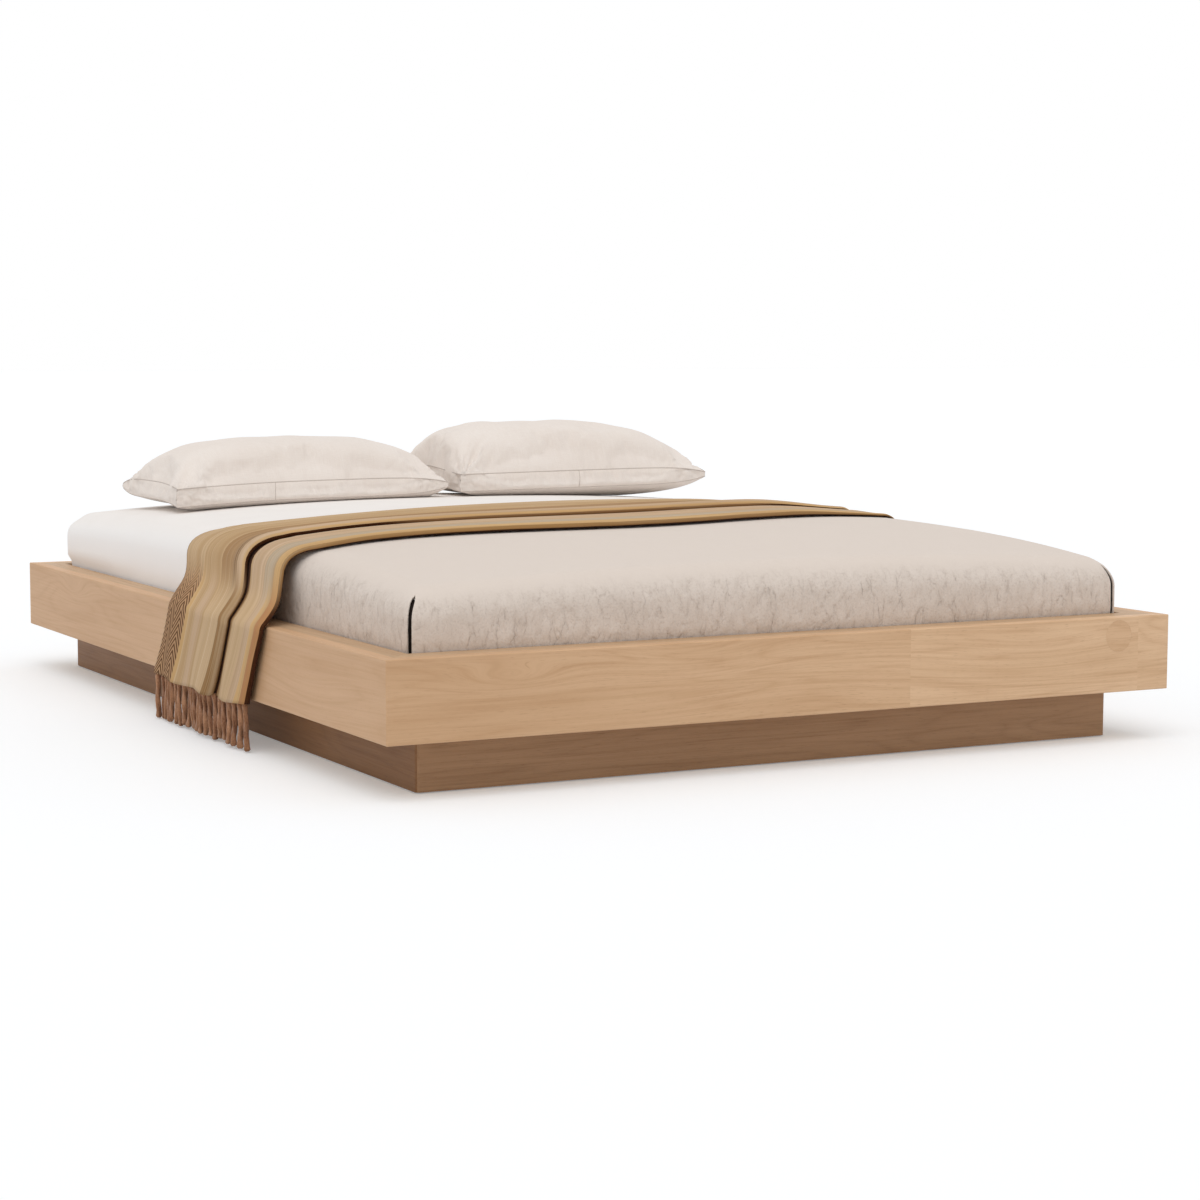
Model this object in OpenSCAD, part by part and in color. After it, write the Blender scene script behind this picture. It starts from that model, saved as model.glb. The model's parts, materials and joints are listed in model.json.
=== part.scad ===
// Low-profile platform bed in pale oak: a boxed rail with a ledge round a recessed mattress,
// carried on a set-back plinth so that it seems to float.
// The origin is on the floor under the middle of the bed, +X is to the right seen from the
// foot, +Y points at the head and +Z is up. The bedding lies as it is used: a fitted sheet,
// a coverlet over the foot half, a folded throw across the middle and two box-edged pillows.

/* [Mattress] */
// Width of the mattress
mattress_w = 1524; // [1400:1:1650]
// Length of the mattress
mattress_l = 2032; // [1900:1:2150]
// Thickness of the mattress at its foot corners
mattress_h = 198; // [170:1:230]
// Rise of its top from the foot edge to the middle
crown_along = 38; // [20:1:60]
// Rise of its top from the side edges to the middle
crown_across = 30; // [5:1:36]
// How much higher its head edge lies than its foot edge
head_rise = 17; // [0:1:30]
// Radius of the upper edges
shoulder_r = 46; // [36:1:60]
// Radius of the upright corners
mattress_corner_r = 26; // [16:1:36]
// Radius of the lower edges
under_r = 14; // [8:1:20]

/* [Bed linen] */
// Thickness of the fitted sheet
sheet_t = 1.6; // [1:0.1:2.5]
// Height of the sheet's hem above the slats
sheet_hem = 22; // [21:1:34]
// Thickness of the coverlet
coverlet_t = 3.8; // [2.5:0.1:4.5]
// Height of the coverlet's hem above the slats
coverlet_hem = 36; // [30:1:60]
// Distance from the foot edge of the mattress to the end of the coverlet
coverlet_reach = 900; // [800:5:960]
// Width of the open slit at each foot corner of the coverlet
slit_w = 7; // [4:0.5:10]

/* [Box rail] */
// Width of the ledge round the mattress
ledge_w = 68; // [58:1:90]
// Clearance between the mattress and the ledge
recess_gap = 10; // [9:0.5:16]
// Height of the fascia boards
fascia_h = 148; // [125:1:180]
// Thickness of the fascia boards
fascia_t = 25; // [18:1:28]
// Thickness of the cap boards
cap_t = 20; // [12:1:28]
// Thickness of the liner boards
liner_t = 18; // [12:1:24]
// Width of the bearers under the box rail
bearer_w = 130; // [120:1:170]
// Thickness of the bearers
bearer_t = 28; // [24:1:34]
// Radius eased on the long edges that show
arris_r = 2.5; // [1:0.5:5]
// Length of each arm of the corner keys
key_arm = 130; // [80:1:200]
// Diameter of the round wood patch in the foot fascia
patch_d = 62; // [30:1:68]
// Thickness of the wood patch
patch_t = 6; // [3:0.5:10]
// Distance from the right end of the foot fascia to the middle of the patch
patch_from_end = 124; // [60:1:400]
// Distance from the top of the fascia to the middle of the patch
patch_from_top = 37; // [37:1:70]

/* [Plinth] */
// Height from the floor to the underside of the box rail
plinth_h = 100; // [75:1:180]
// Distance that the plinth stands back from the sides
set_back_side = 90; // [70:1:98]
// Distance that the plinth stands back from the head and foot
set_back_end = 80; // [60:1:96]
// Thickness of the plinth boards
plinth_t = 22; // [20:1:26]
// Radius of the plinth's upright corners
plinth_corner_r = 8; // [3:0.5:14]
// Width and depth of the corner posts
post_w = 50; // [44:1:58]
// Diameter of the felt pads
pad_d = 18; // [12:1:19]
// Thickness of the felt pads
pad_t = 3.5; // [3:0.1:6]
// Depth of the felt pads' seats
pad_seat = 1.5; // [1:0.1:2.5]

/* [Slats] */
// Width of a slat
slat_w = 90; // [60:1:110]
// Thickness of a slat
slat_t = 20; // [14:1:24]
// Width of the centre bearer
centre_w = 70; // [40:1:120]
// Play at each end of a slat
slat_play = 2; // [1:0.5:5]

/* [Fixings] */
// Distance from the sides of the recess to the slat screws
screw_inset = 40; // [30:1:55]
// Diameter of the slat screws
screw_d = 4; // [3:0.5:5]
// Length of the slat screws
screw_l = 36; // [30:1:37]
// Diameter of the slat screws' heads
screw_head_d = 8; // [6.5:0.5:9]
// Diameter of the platform bolts
bolt_d = 8; // [6:1:10]
// Length of the platform bolts under the head
bolt_l = 60; // [45:1:70]
// Diameter of the platform bolts' heads
bolt_head_d = 13; // [12:1:16]
// Height of the platform bolts' heads
bolt_head_h = 8; // [6:1:10]

/* [Pillows] */
// Width of a pillow between its seams
pillow_w = 670; // [600:1:680]
// Depth of a pillow between its seams
pillow_l = 400; // [360:1:440]
// Height of the pillows' box edge
pillow_edge_h = 41; // [24:1:60]
// Rise of the left pillow above its upper seam
pillow_left_rise = 94; // [60:1:150]
// Rise of the right pillow above its upper seam
pillow_right_rise = 114; // [60:1:150]
// Height of the left pillow's lower seam above the crest of the sheet
pillow_left_seam = 2; // [1:1:20]
// Height of the right pillow's lower seam above the crest of the sheet
pillow_right_seam = 9; // [1:1:20]
// Depth of a plump underside below its seam
pillow_sag = 34; // [20:1:50]
// Distance between the two pillows at their middle
pillow_apart = 29; // [28:1:50]
// Distance that the pair of pillows lies to the right of the middle of the bed
pillow_shift = 33; // [0:1:50]
// Distance from the head edge of the mattress to the pillows
pillow_from_head = 76; // [20:1:100]
// Distance that the pillows' sides draw in between the corners
pillow_waist = 13; // [0:1:24]
// How far the front left corner of the left pillow droops
pillow_droop = 20; // [0:1:24]

/* [Throw] */
// Width of the folded throw in the middle of the bed
throw_w = 430; // [340:5:480]
// How much wider its folds spread down the sides
throw_spread = 115; // [0:5:140]
// Height of the throw's hems above the floor
throw_hem_z = 92; // [88:1:130]
// Thickness of the folded wool at its thinnest
throw_t = 5; // [3:0.5:8]
// Height of the throw's folds
fold_h = 17; // [8:1:24]
// Distance from the foot edge of the mattress to the throw's near edge in the middle
throw_from_foot = 640; // [560:5:720]
// Distance that the right end lies nearer the head than the middle does, and the left end further
throw_lean = 100; // [0:5:120]
// Distance that the throw swings towards the foot over the left shoulder
swing_left = 55; // [0:5:120]
// Distance that the throw swings towards the foot over the right shoulder
swing_right = 0; // [0:5:120]
// Distance that the hems hang back towards the head
throw_trail = 75; // [0:1:100]
// Distance that the near edge lies back towards the head on the shoulders
shoulder_back = 50; // [0:5:80]
// How much wider still the folds spread on the shoulders
shoulder_spread = 90; // [0:5:120]
// Length of a tassel
tassel_l = 84; // [40:1:86]
// Diameter of a tassel at its foot
tassel_d = 9; // [5:0.5:12]
// Tassels on each end of the throw
tassel_count = 18; // [8:1:24]

/* [Hidden] */
$fn = 48;

// Clearances: between laid cloths, under the mattress and pillows, under the throw, between the
// throw and the rail, and round the wood patch
lay_gap = 0.1;
body_gap = 0.6;
throw_gap = 1.8;
rail_gap = 2;
patch_gap = 0.2;

// The bed in plan, as half sizes from its middle
mat_x = mattress_w / 2;
mat_y = mattress_l / 2;
recess_x = mat_x + recess_gap;
recess_y = mat_y + recess_gap;
outer_x = recess_x + ledge_w;
outer_y = recess_y + ledge_w;
plinth_x = outer_x - set_back_side;
plinth_y = outer_y - set_back_end;

// Heights above the floor
pad_proud = pad_t - pad_seat;
bearer_top = plinth_h + bearer_t;
deck_z = bearer_top + slat_t;
rail_top = plinth_h + fascia_h;
cap_z = rail_top - cap_t;
bedding_z = deck_z + body_gap;

// Fourteen slats, spread evenly over the recess
slat_count = 14;
slat_margin = 6;
slat_pitch = (2 * (recess_y - slat_margin) - slat_w) / (slat_count - 1);

// Places of the plinth's cross boards, and of the fixings
cross_y = plinth_y / 3;
post_x = plinth_x - plinth_t - post_w / 2;
post_y = plinth_y - plinth_t - post_w / 2;
screw_x = recess_x - screw_inset;
screw_sink = 0.5;
screw_tip = 5;

// Colours
oak = [0.80, 0.64, 0.46];
oak_shade = [0.66, 0.50, 0.35];
pine = [0.88, 0.78, 0.60];
steel = [0.62, 0.63, 0.65];
felt = [0.30, 0.28, 0.26];
ticking = [0.91, 0.90, 0.87];
cotton_white = [0.96, 0.95, 0.93];
stone_beige = [0.81, 0.76, 0.71];
linen = [0.90, 0.85, 0.81];
wool = [0.76, 0.62, 0.44];
tassel_brown = [0.62, 0.42, 0.30];

// The side on which a board lies, as a turn about the middle of the bed
FOOT = 0;
RIGHT = 90;
HEAD = 180;
LEFT = 270;

function at_end(side) = side == FOOT || side == HEAD;
// Half length of a board of the outer size hx by hy, and its distance from the middle
function half_length(side, hx, hy) = at_end(side) ? hx : hy;
function distance_out(side, hx, hy) = at_end(side) ? hy : hx;

// Boards

// A rectangle from the origin to [w, h] whose two corners at x = 0 are rounded by r
module eased_section(w, h, r) {
    difference() {
        square([w, h]);
        square([r, r]);
        translate([0, h - r]) square([r, r]);
    }
    translate([r, r]) circle(r);
    translate([r, h - r]) circle(r);
}

// A rectangle of half sizes hx and hy about the origin, with rounded corners
module rounded_plan(hx, hy, r) {
    square([2 * hx - 2 * r, 2 * hy], center = true);
    square([2 * hx, 2 * hy - 2 * r], center = true);
    for (x = [-1, 1], y = [-1, 1]) translate([x * (hx - r), y * (hy - r)]) circle(r);
}

// The plan of a board with mitred ends on one side of a rectangle of half sizes hx and hy
module mitred_plan(side, hx, hy, w) {
    half = half_length(side, hx, hy);
    out = distance_out(side, hx, hy);
    rotate(side) polygon([[-half, -out], [half, -out], [half - w, w - out], [w - half, w - out]]);
}

// Fascia: the tall outer board of the box rail, eased on every edge that shows
module fascia(side) {
    half = half_length(side, outer_x, outer_y);
    out = distance_out(side, outer_x, outer_y);
    color(oak) difference() {
        intersection() {
            rotate(side) translate([-half, -out, plinth_h]) rotate([90, 0, 90])
                linear_extrude(2 * half) eased_section(fascia_t, fascia_h, arris_r);
            translate([0, 0, plinth_h]) linear_extrude(fascia_h) intersection() {
                mitred_plan(side, outer_x, outer_y, fascia_t);
                rounded_plan(outer_x, outer_y, arris_r);
            }
        }
        if (side == FOOT) wood_patch_shape(patch_gap);
    }
}

// Cap: the flat board behind the fascia's top edge that makes the ledge
module cap(side) {
    color(oak) translate([0, 0, cap_z]) linear_extrude(cap_t)
        mitred_plan(side, outer_x - fascia_t, outer_y - fascia_t, ledge_w - fascia_t);
}

// Liner: the inner wall of the box rail, which keeps the mattress in place
module liner(side) {
    color(oak) translate([0, 0, bearer_top]) linear_extrude(cap_z - bearer_top)
        mitred_plan(side, recess_x + liner_t, recess_y + liner_t, liner_t);
}

// Bearer: the bottom of the box rail. It sits on the plinth and carries the slats' ends.
module bearer(side) {
    half = half_length(side, outer_x, outer_y) - fascia_t - (at_end(side) ? 0 : bearer_w);
    out = distance_out(side, outer_x, outer_y) - fascia_t;
    color(pine) difference() {
        rotate(side) translate([-half, -out, plinth_h]) cube([2 * half, bearer_w, bearer_t]);
        if (at_end(side)) {
            end_y = side == FOOT ? -1 : 1;
            slat_screw_pair(end_y < 0 ? 1 : slat_count);
            for (x = [-1, 1]) platform_bolt(x, end_y);
        } else {
            for (number = [2 : slat_count - 1]) slat_screw(side == RIGHT ? 1 : -1, number);
        }
    }
}

// Corner key: the L-shaped block that fills a hollow corner of the box rail
module corner_key(x, y) {
    hollow = ledge_w - fascia_t - liner_t;
    color(pine) mirror([x < 0 ? 1 : 0, 0]) mirror([0, y < 0 ? 1 : 0])
        translate([outer_x - fascia_t, outer_y - fascia_t, bearer_top])
            linear_extrude(cap_z - bearer_top)
                polygon([[0, 0], [-key_arm, 0], [-key_arm, -hollow], [-hollow, -hollow],
                         [-hollow, -key_arm], [0, -key_arm]]);
}

// The wood patch's disc, widened by a gap all round
module wood_patch_shape(gap) {
    translate([outer_x - patch_from_end, patch_t - outer_y, rail_top - patch_from_top])
        rotate([90, 0, 0]) cylinder(h = patch_t + gap, d = patch_d + 2 * gap);
}

// Wood patch: a round plug let in flush where a knot was cut out
module wood_patch() {
    color(oak) wood_patch_shape(0);
}

// Plinth

// Plinth board: one side of the set-back base, with softened upright corners
module plinth_board(side) {
    color(oak_shade) translate([0, 0, pad_proud]) linear_extrude(plinth_h - pad_proud)
        intersection() {
            mitred_plan(side, plinth_x, plinth_y, plinth_t);
            rounded_plan(plinth_x, plinth_y, plinth_corner_r);
        }
}

// Corner post: glued into a corner of the plinth, it takes the platform bolt
module post(x, y) {
    color(pine) difference() {
        translate([x * post_x - post_w / 2, y * post_y - post_w / 2, pad_proud])
            cube([post_w, post_w, plinth_h - pad_proud]);
        platform_bolt(x, y);
        floor_pad(x * post_x, y * post_y);
    }
}

// Plinth spine: the board under the middle of the bed, notched from below for the cross boards
module plinth_spine() {
    inside = plinth_y - plinth_t;
    lap = (plinth_h - pad_proud) / 2;
    color(pine) difference() {
        translate([-plinth_t / 2, -inside, pad_proud])
            cube([plinth_t, 2 * inside, plinth_h - pad_proud]);
        for (y = [-cross_y, cross_y])
            translate([-plinth_t, y - plinth_t / 2, pad_proud]) cube([2 * plinth_t, plinth_t, lap]);
    }
}

// Cross board: it runs from side to side under the spine, notched from above
module cross_board(y) {
    inside = plinth_x - plinth_t;
    lap = (plinth_h - pad_proud) / 2;
    color(pine) difference() {
        translate([-inside, y - plinth_t / 2, pad_proud])
            cube([2 * inside, plinth_t, plinth_h - pad_proud]);
        translate([-plinth_t / 2, y - plinth_t, pad_proud + lap]) cube([plinth_t, 2 * plinth_t, lap]);
        for (x = [-1, 0, 1]) floor_pad(x * plinth_x * 2 / 3, y);
    }
}

// Centre bearer: it lies on the spine and carries the middles of the slats
module centre_bearer() {
    inside = outer_y - fascia_t - bearer_w;
    color(pine) translate([-centre_w / 2, -inside, plinth_h]) cube([centre_w, 2 * inside, bearer_t]);
}

// One felt pad, let into the underside of the plinth
module floor_pad(x, y) {
    translate([x, y, 0]) cylinder(h = pad_t, d = pad_d);
}

// Floor pads: under the corner posts and the cross boards
module floor_pads() {
    color(felt) {
        for (x = [-1, 1], y = [-1, 1]) floor_pad(x * post_x, y * post_y);
        for (x = [-1, 0, 1], y = [-1, 1]) floor_pad(x * plinth_x * 2 / 3, y * cross_y);
    }
}

// Slats and fixings

function slat_y(number) = slat_margin + slat_w / 2 - recess_y + (number - 1) * slat_pitch;

// Slat: numbered from the foot, screwed down at both ends
module slat(number) {
    half = recess_x - slat_play;
    color(pine) difference() {
        translate([-half, slat_y(number) - slat_w / 2, bearer_top]) cube([2 * half, slat_w, slat_t]);
        slat_screw_pair(number);
    }
}

// A countersunk screw at the left (-1) or right (1) end of a slat, with its pointed tip
module slat_screw(x, number) {
    head_h = (screw_head_d - screw_d) / 2;
    translate([x * screw_x, slat_y(number), deck_z - screw_sink]) mirror([0, 0, 1]) {
        translate([0, 0, -screw_sink]) cylinder(h = screw_sink, d = screw_head_d);
        cylinder(h = head_h, d1 = screw_head_d, d2 = screw_d);
        translate([0, 0, head_h]) cylinder(h = screw_l - screw_tip - head_h, d = screw_d);
        translate([0, 0, screw_l - screw_tip]) cylinder(h = screw_tip, d1 = screw_d, d2 = screw_d / 4);
    }
}

module slat_screw_pair(number) {
    for (x = [-1, 1]) slat_screw(x, number);
}

// Slat screws: two in each slat
module slat_screws() {
    color(steel) for (number = [1 : slat_count]) slat_screw_pair(number);
}

// A bolt that draws a corner of the box rail down on its plinth post, head sunk in the bearer
module platform_bolt(x, y) {
    translate([x * post_x, y * post_y, bearer_top - bolt_head_h]) {
        cylinder(h = bolt_head_h, d = bolt_head_d);
        translate([0, 0, -bolt_l]) cylinder(h = bolt_l, d = bolt_d);
    }
}

// Platform bolts: one in each corner, with a hexagon socket in the head
module platform_bolts() {
    socket = bolt_head_h / 2;
    color(steel) for (x = [-1, 1], y = [-1, 1]) difference() {
        platform_bolt(x, y);
        translate([x * post_x, y * post_y, bearer_top - socket])
            cylinder(h = socket, d = bolt_d * 0.8, $fn = 6);
    }
}

// Nets: a soft piece is a net of points with columns across it and rows along it

// Triangles of a net of points held column by column from the index start
function net_faces(columns, rows, start = 0, turned = false) = [
    for (i = [0 : columns - 2], j = [0 : rows - 2])
        let (a = start + i * rows + j, b = a + rows)
            each turned ? [[a, b + 1, b], [a, a + 1, b + 1]] : [[a, b, b + 1], [a, b + 1, a + 1]]
];

// Indices round the edge of a net, in order
function net_rim(columns, rows) = concat(
    [for (i = [0 : columns - 2]) i * rows],
    [for (j = [0 : rows - 2]) (columns - 1) * rows + j],
    [for (i = [columns - 1 : -1 : 1]) i * rows + rows - 1],
    [for (j = [rows - 1 : -1 : 1]) j]
);

// Triangles of the strip between two closed rings of indices
function strip_faces(ring, other) = [
    for (k = [0 : len(ring) - 1])
        let (next = (k + 1) % len(ring))
            each [[ring[k], other[next], ring[next]], [ring[k], other[k], other[next]]]
];

function shifted(indices, by) = [for (i = indices) i + by];

// Mattress and bed linen

// How fast the bedding's top falls away along the bed and across it
along_power = 3.2;
across_power = 2.2;

// How far the bedding's top stands above its foot corners
function crown(x, y) =
    crown_along * (1 - pow(min(1, abs(y) / mat_y), along_power))
    + crown_across * (1 - pow(min(1, abs(x) / mat_x), across_power))
    + head_rise * pow(max(0, min(1, y / mat_y)), along_power);

// Height above the floor of a point at the height h of a flat-topped mattress
function crowned(x, y, h) = bedding_z + h * (1 + crown(x, y) / mattress_h);

// Cells of the bedding's net: across its top, along it up to the coverlet's end and past that,
// and over the shoulder
cells_across = 8;
cells_foot = 5;
cells_head = 5;
cells_shoulder = 4;
rows_top = cells_foot + cells_head;
flat_x = mat_x - shoulder_r;
flat_y = mat_y - shoulder_r;
coverlet_end = coverlet_reach - mat_y;

// The plan of each corner is a superellipse that passes as a round corner of mattress_corner_r
corner_power = ln(0.5) / ln(1 - (1 - cos(45)) * mattress_corner_r / shoulder_r);
function corner_ease(c) = pow(max(0, c), 2 / corner_power);

// Turn, from the corner's middle, of the net's lines beside a coverlet slit
slit_turn = slit_w / 4 / (shoulder_r * cos(45) * corner_ease(cos(45)) / corner_power) * 180 / PI / sqrt(2);

// Turn about a corner of line j on ring i
function corner_turn(i, j) = j == i ? 45 : i == 1 ? 0 : (45 - slit_turn) * j / (i - 1);

function row_y(row) = row <= cells_foot
    ? -flat_y + (coverlet_end + flat_y) * row / cells_foot
    : coverlet_end + (flat_y - coverlet_end) * (row - cells_foot) / cells_head;

// Rings of the net past the top: the shoulder, the side down to the hem, and for the mattress
// itself the rounded lower edge. Each is [distance outwards, height], offset by t.
function ring(i, t, hem) =
    i <= cells_shoulder ? [
        (shoulder_r + t) * sin(90 * i / cells_shoulder),
        mattress_h - shoulder_r + (shoulder_r + t) * cos(90 * i / cells_shoulder)
    ] : i == cells_shoulder + 1 ? [shoulder_r + t, hem]
    : [
        shoulder_r - under_r * (1 - cos(45 * (i - cells_shoulder - 1))),
        hem - under_r * sin(45 * (i - cells_shoulder - 1))
    ];

// A point of the bedding's net in column and row, at the distance t from the mattress
function bedding_point(column, row, t, hem) =
    let (
        i = max(0, -column, column - cells_across),
        j = max(0, -row, row - rows_top),
        side_x = column <= 0 ? -1 : 1,
        side_y = row <= 0 ? -1 : 1,
        edge = ring(max(i, j), t, hem),
        turn = i >= j ? corner_turn(i, j) : 90 - corner_turn(j, i),
        x = i == 0 ? flat_x * (2 * column / cells_across - 1)
            : side_x * (flat_x + edge[0] * corner_ease(cos(turn))),
        y = j == 0 ? row_y(row) : side_y * (flat_y + edge[0] * corner_ease(sin(turn)))
    ) [x, y, crowned(x, y, edge[1])];

// Points of one face of a cloth laid over the mattress, out to the given ring past the top
function bedding_net(t, hem, rings, last_row) = [
    for (column = [-rings : cells_across + rings], row = [-rings : last_row])
        bedding_point(column, row, t, hem)
];

// Mattress: a crowned pad with round shoulders, drawn in under its lower edge
module mattress() {
    rings = cells_shoulder + 3;
    columns = cells_across + 2 * rings + 1;
    rows = rows_top + 2 * rings + 1;
    points = bedding_net(0, under_r, rings, rows_top + rings);
    rim = net_rim(columns, rows);
    base = [for (k = [0 : len(rim) - 1]) [rim[(k + 1) % len(rim)], len(points), rim[k]]];
    color(ticking) polyhedron(concat(points, [[0, 0, bedding_z]]),
                              concat(net_faces(columns, rows, 0, true), base));
}

// A cloth between two faces of the bedding's net. At the slits it thins to a thread.
module laid_cloth(inner_t, outer_t, hem, last_row, slit_t) {
    rings = cells_shoulder + 1;
    columns = cells_across + 2 * rings + 1;
    rows = last_row + rings + 1;
    outer = [
        for (column = [-rings : cells_across + rings], row = [-rings : last_row])
            let (at_slit = row <= -2 && (column == row || column - cells_across == -row))
                bedding_point(column, row, at_slit ? slit_t : outer_t, hem)
    ];
    inner = bedding_net(inner_t, hem, rings, last_row);
    rim = net_rim(columns, rows);
    polyhedron(concat(outer, inner),
               concat(net_faces(columns, rows, 0, true),
                      net_faces(columns, rows, len(outer)),
                      strip_faces(shifted(rim, len(outer)), rim)));
}

// Fitted sheet: white cotton over the top and sides of the mattress
module fitted_sheet() {
    color(cotton_white) laid_cloth(lay_gap, sheet_t, sheet_hem, rows_top + cells_shoulder + 1, sheet_t);
}

// Coverlet: over the foot half, tucked down into the recess, open at the two foot corners
module coverlet() {
    inner_t = sheet_t + lay_gap;
    color(stone_beige) laid_cloth(inner_t, inner_t + coverlet_t, coverlet_hem, cells_foot, inner_t + 0.3);
}

// Throw

// The throw's section: [place across the width, height of the cloth as a share of fold_h],
// from the rolled near edge over a narrow band and a deep valley to the broad panel
fold_section = [
    [0, 0.25], [0.02, 0.65], [0.05, 0.8], [0.09, 0.6], [0.16, 0.42], [0.23, 0.62],
    [0.27, 0.5], [0.29, 0.08], [0.315, 0], [0.335, 0.6], [0.365, 1], [0.42, 0.85],
    [0.5, 0.5], [0.62, 0.58], [0.74, 0.34], [0.86, 0.45], [0.95, 0.3], [1, 0.12]
];

// The throw bridges from the shoulder to the ledge's outer edge. Its near part leaves the shoulder
// at bridge_turn and its far part lower down, at far_turn.
throw_lift = sheet_t + lay_gap + coverlet_t + throw_gap;
edge_turn = 68;
bridge_turn = 54;
far_turn = 78;
cells_top = 10;
bridge_cells = 2;
arc_cells = 4;

function mix(a, b, share) = a + (b - a) * share;

// Stations of the throw from its left hem to its right. Those of a side come as [x outwards, z,
// turn of the cloth's face from level, share of the way down to the hem, share of the shoulder].
drop_stations = [
    [outer_x + rail_gap, throw_hem_z, 90, 1, 0],
    [outer_x + rail_gap, (throw_hem_z + rail_top) / 2, 90, 0.5, 0],
    [outer_x + rail_gap, rail_top - arris_r, 90, 0, 0]
];
drop_count = len(drop_stations);
edge_cells = 2;
side_count = drop_count + edge_cells + bridge_cells + arc_cells;
right_hem = 2 * side_count + cells_top;

// Point of the underside at a turn round the rail's upper edge, whose cloth is turned a little more
function edge_point(turn, extra) =
    let (r = rail_gap + arris_r)
        [outer_x - arris_r + r * sin(turn), rail_top - arris_r + r * cos(turn), turn + extra, 0, 0];

// Point of the underside on the shoulder, at a turn of the cloth's face from level
function shoulder_point(turn, y) =
    let (r = shoulder_r + throw_lift, x = flat_x + r * sin(turn))
        [x, crowned(x, y, mattress_h - shoulder_r + r * cos(turn)), turn, 0, min(1, turn / 45)];

// One side's station at y and at the share w of the throw's width
function side_station(k, y, w) =
    let (
        leaving_turn = mix(bridge_turn, far_turn, w),
        i = k - drop_count - edge_cells,
        bridge = (i + 1) / (bridge_cells + 1)
    )
    k < drop_count ? drop_stations[k]
    : k == drop_count ? edge_point(edge_turn, 4)
    : k == drop_count + 1 ? edge_point(bridge_turn, 0)
    : i < bridge_cells ? mix(edge_point(bridge_turn, 0), shoulder_point(leaving_turn, y), bridge)
    : shoulder_point(leaving_turn * (1 - (i - bridge_cells) / arc_cells), y);

// Any station from the left hem to the right: [x, z, turn, share of the swing, of the drop, of the
// shoulder]
function throw_station(k, y, w) =
    k < side_count ? let (s = side_station(k, y, w)) [-s[0], s[1], -s[2], 1, s[3], s[4]]
    : k > side_count + cells_top ? let (s = side_station(right_hem - k, y, w)) [s[0], s[1], s[2], 1, s[3], s[4]]
    : let (x = flat_x * sin(90 * (2 * (k - side_count) / cells_top - 1)))
        [x, crowned(x, y, mattress_h + throw_lift), 0, pow(abs(x) / flat_x, 5), 0, 0];

// The place along the bed of the throw's near edge at station k, and its width there
function throw_near(k) =
    let (s = throw_station(k, 0, 0), side = max(-1, min(1, s[0] / flat_x)))
        throw_from_foot - mat_y + throw_lean * side
        - (side < 0 ? swing_left : swing_right) * s[3] + throw_trail * s[4] + shoulder_back * s[5];
function throw_width(k) =
    let (s = throw_station(k, 0, 0)) throw_w + throw_spread * s[3] + shoulder_spread * s[5];

// The place along the bed of the share w of the throw's width, at station k
function throw_y(k, w) = throw_near(k) + throw_width(k) * w;

// Net of the throw at the share of its full thickness: 0 for the underside, 1 for the face
function throw_net(face) = [
    for (k = [0 : right_hem], fold = fold_section)
        let (
            y = throw_y(k, fold[0]),
            s = throw_station(k, y, fold[0]),
            rise = face * (throw_t + fold_h * fold[1])
        ) [s[0] + rise * sin(s[2]), y, s[1] + rise * cos(s[2])]
];

// Throw: striped wool folded lengthwise, laid across the bed and down both sides
module throw() {
    columns = right_hem + 1;
    rows = len(fold_section);
    rim = net_rim(columns, rows);
    color(wool) polyhedron(concat(throw_net(1), throw_net(0)),
                           concat(net_faces(columns, rows, 0, true),
                                  net_faces(columns, rows, columns * rows),
                                  strip_faces(shifted(rim, columns * rows), rim)));
}

// Fringe: a row of twisted tassels under the left (-1) or right (1) hem
module fringe(x) {
    hem = x < 0 ? 0 : right_hem;
    color(tassel_brown) for (i = [0 : tassel_count - 1]) {
        w = (i + 0.5) / tassel_count;
        middle = outer_x + rail_gap + (throw_t + fold_h * lookup(w, fold_section)) / 2;
        translate([x * middle, throw_y(hem, w), throw_hem_z - tassel_l])
            cylinder(h = tassel_l, d1 = tassel_d, d2 = tassel_d * 0.6, $fn = 16);
    }
}

// Pillows

pillow_cells_x = 16;
pillow_cells_y = 12;
pillow_y = mat_y - pillow_from_head - pillow_l / 2;
pillow_pitch = pillow_w + pillow_apart;
pillow_lift = 0.8;
pillow_tilt = 3.5;
band_bulge = 6;
crest_z = crowned(0, 0, mattress_h + sheet_t);

// Plan of a pillow at u, v from -1 to 1, whose sides draw in between the corners
function pillow_plan(x, u, v, out) = [
    x + u * (pillow_w / 2 + out - pillow_waist * u * u * (1 - v * v)),
    pillow_y + v * (pillow_l / 2 + out - pillow_waist * v * v * (1 - u * u))
];

// How near a point is to a corner, as a share: to the front left one, which stays square and may
// droop, and to the others, where the band is pinched to a point
function near_square(u, v) = pow(max(0, -u) * max(0, -v), 2);
function near_point(u, v) = u < 0 && v < 0 ? 0 : pow(abs(u * v), 6);

// Height of the lower seam's plane, and of the two seams and the middle of the band above it
function seam_plane(u, v, seam, droop) = crest_z + seam + pillow_tilt * u - droop * near_square(u, v);
function upper_seam(u, v) = pillow_edge_h * (1 - 0.35 * near_point(u, v));
function lower_seam(u, v) = pillow_edge_h * 0.4 * near_point(u, v);
function band_middle(u, v) = (upper_seam(u, v) + lower_seam(u, v)) / 2;

// The top's height above the upper seam, as a share, with its own fall to the left and the right
function plump(u, v, left_power, right_power) =
    pow((1 - pow(abs(u), u < 0 ? left_power : right_power)) * (1 - pow(abs(v), 2.6)), 0.8);

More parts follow.
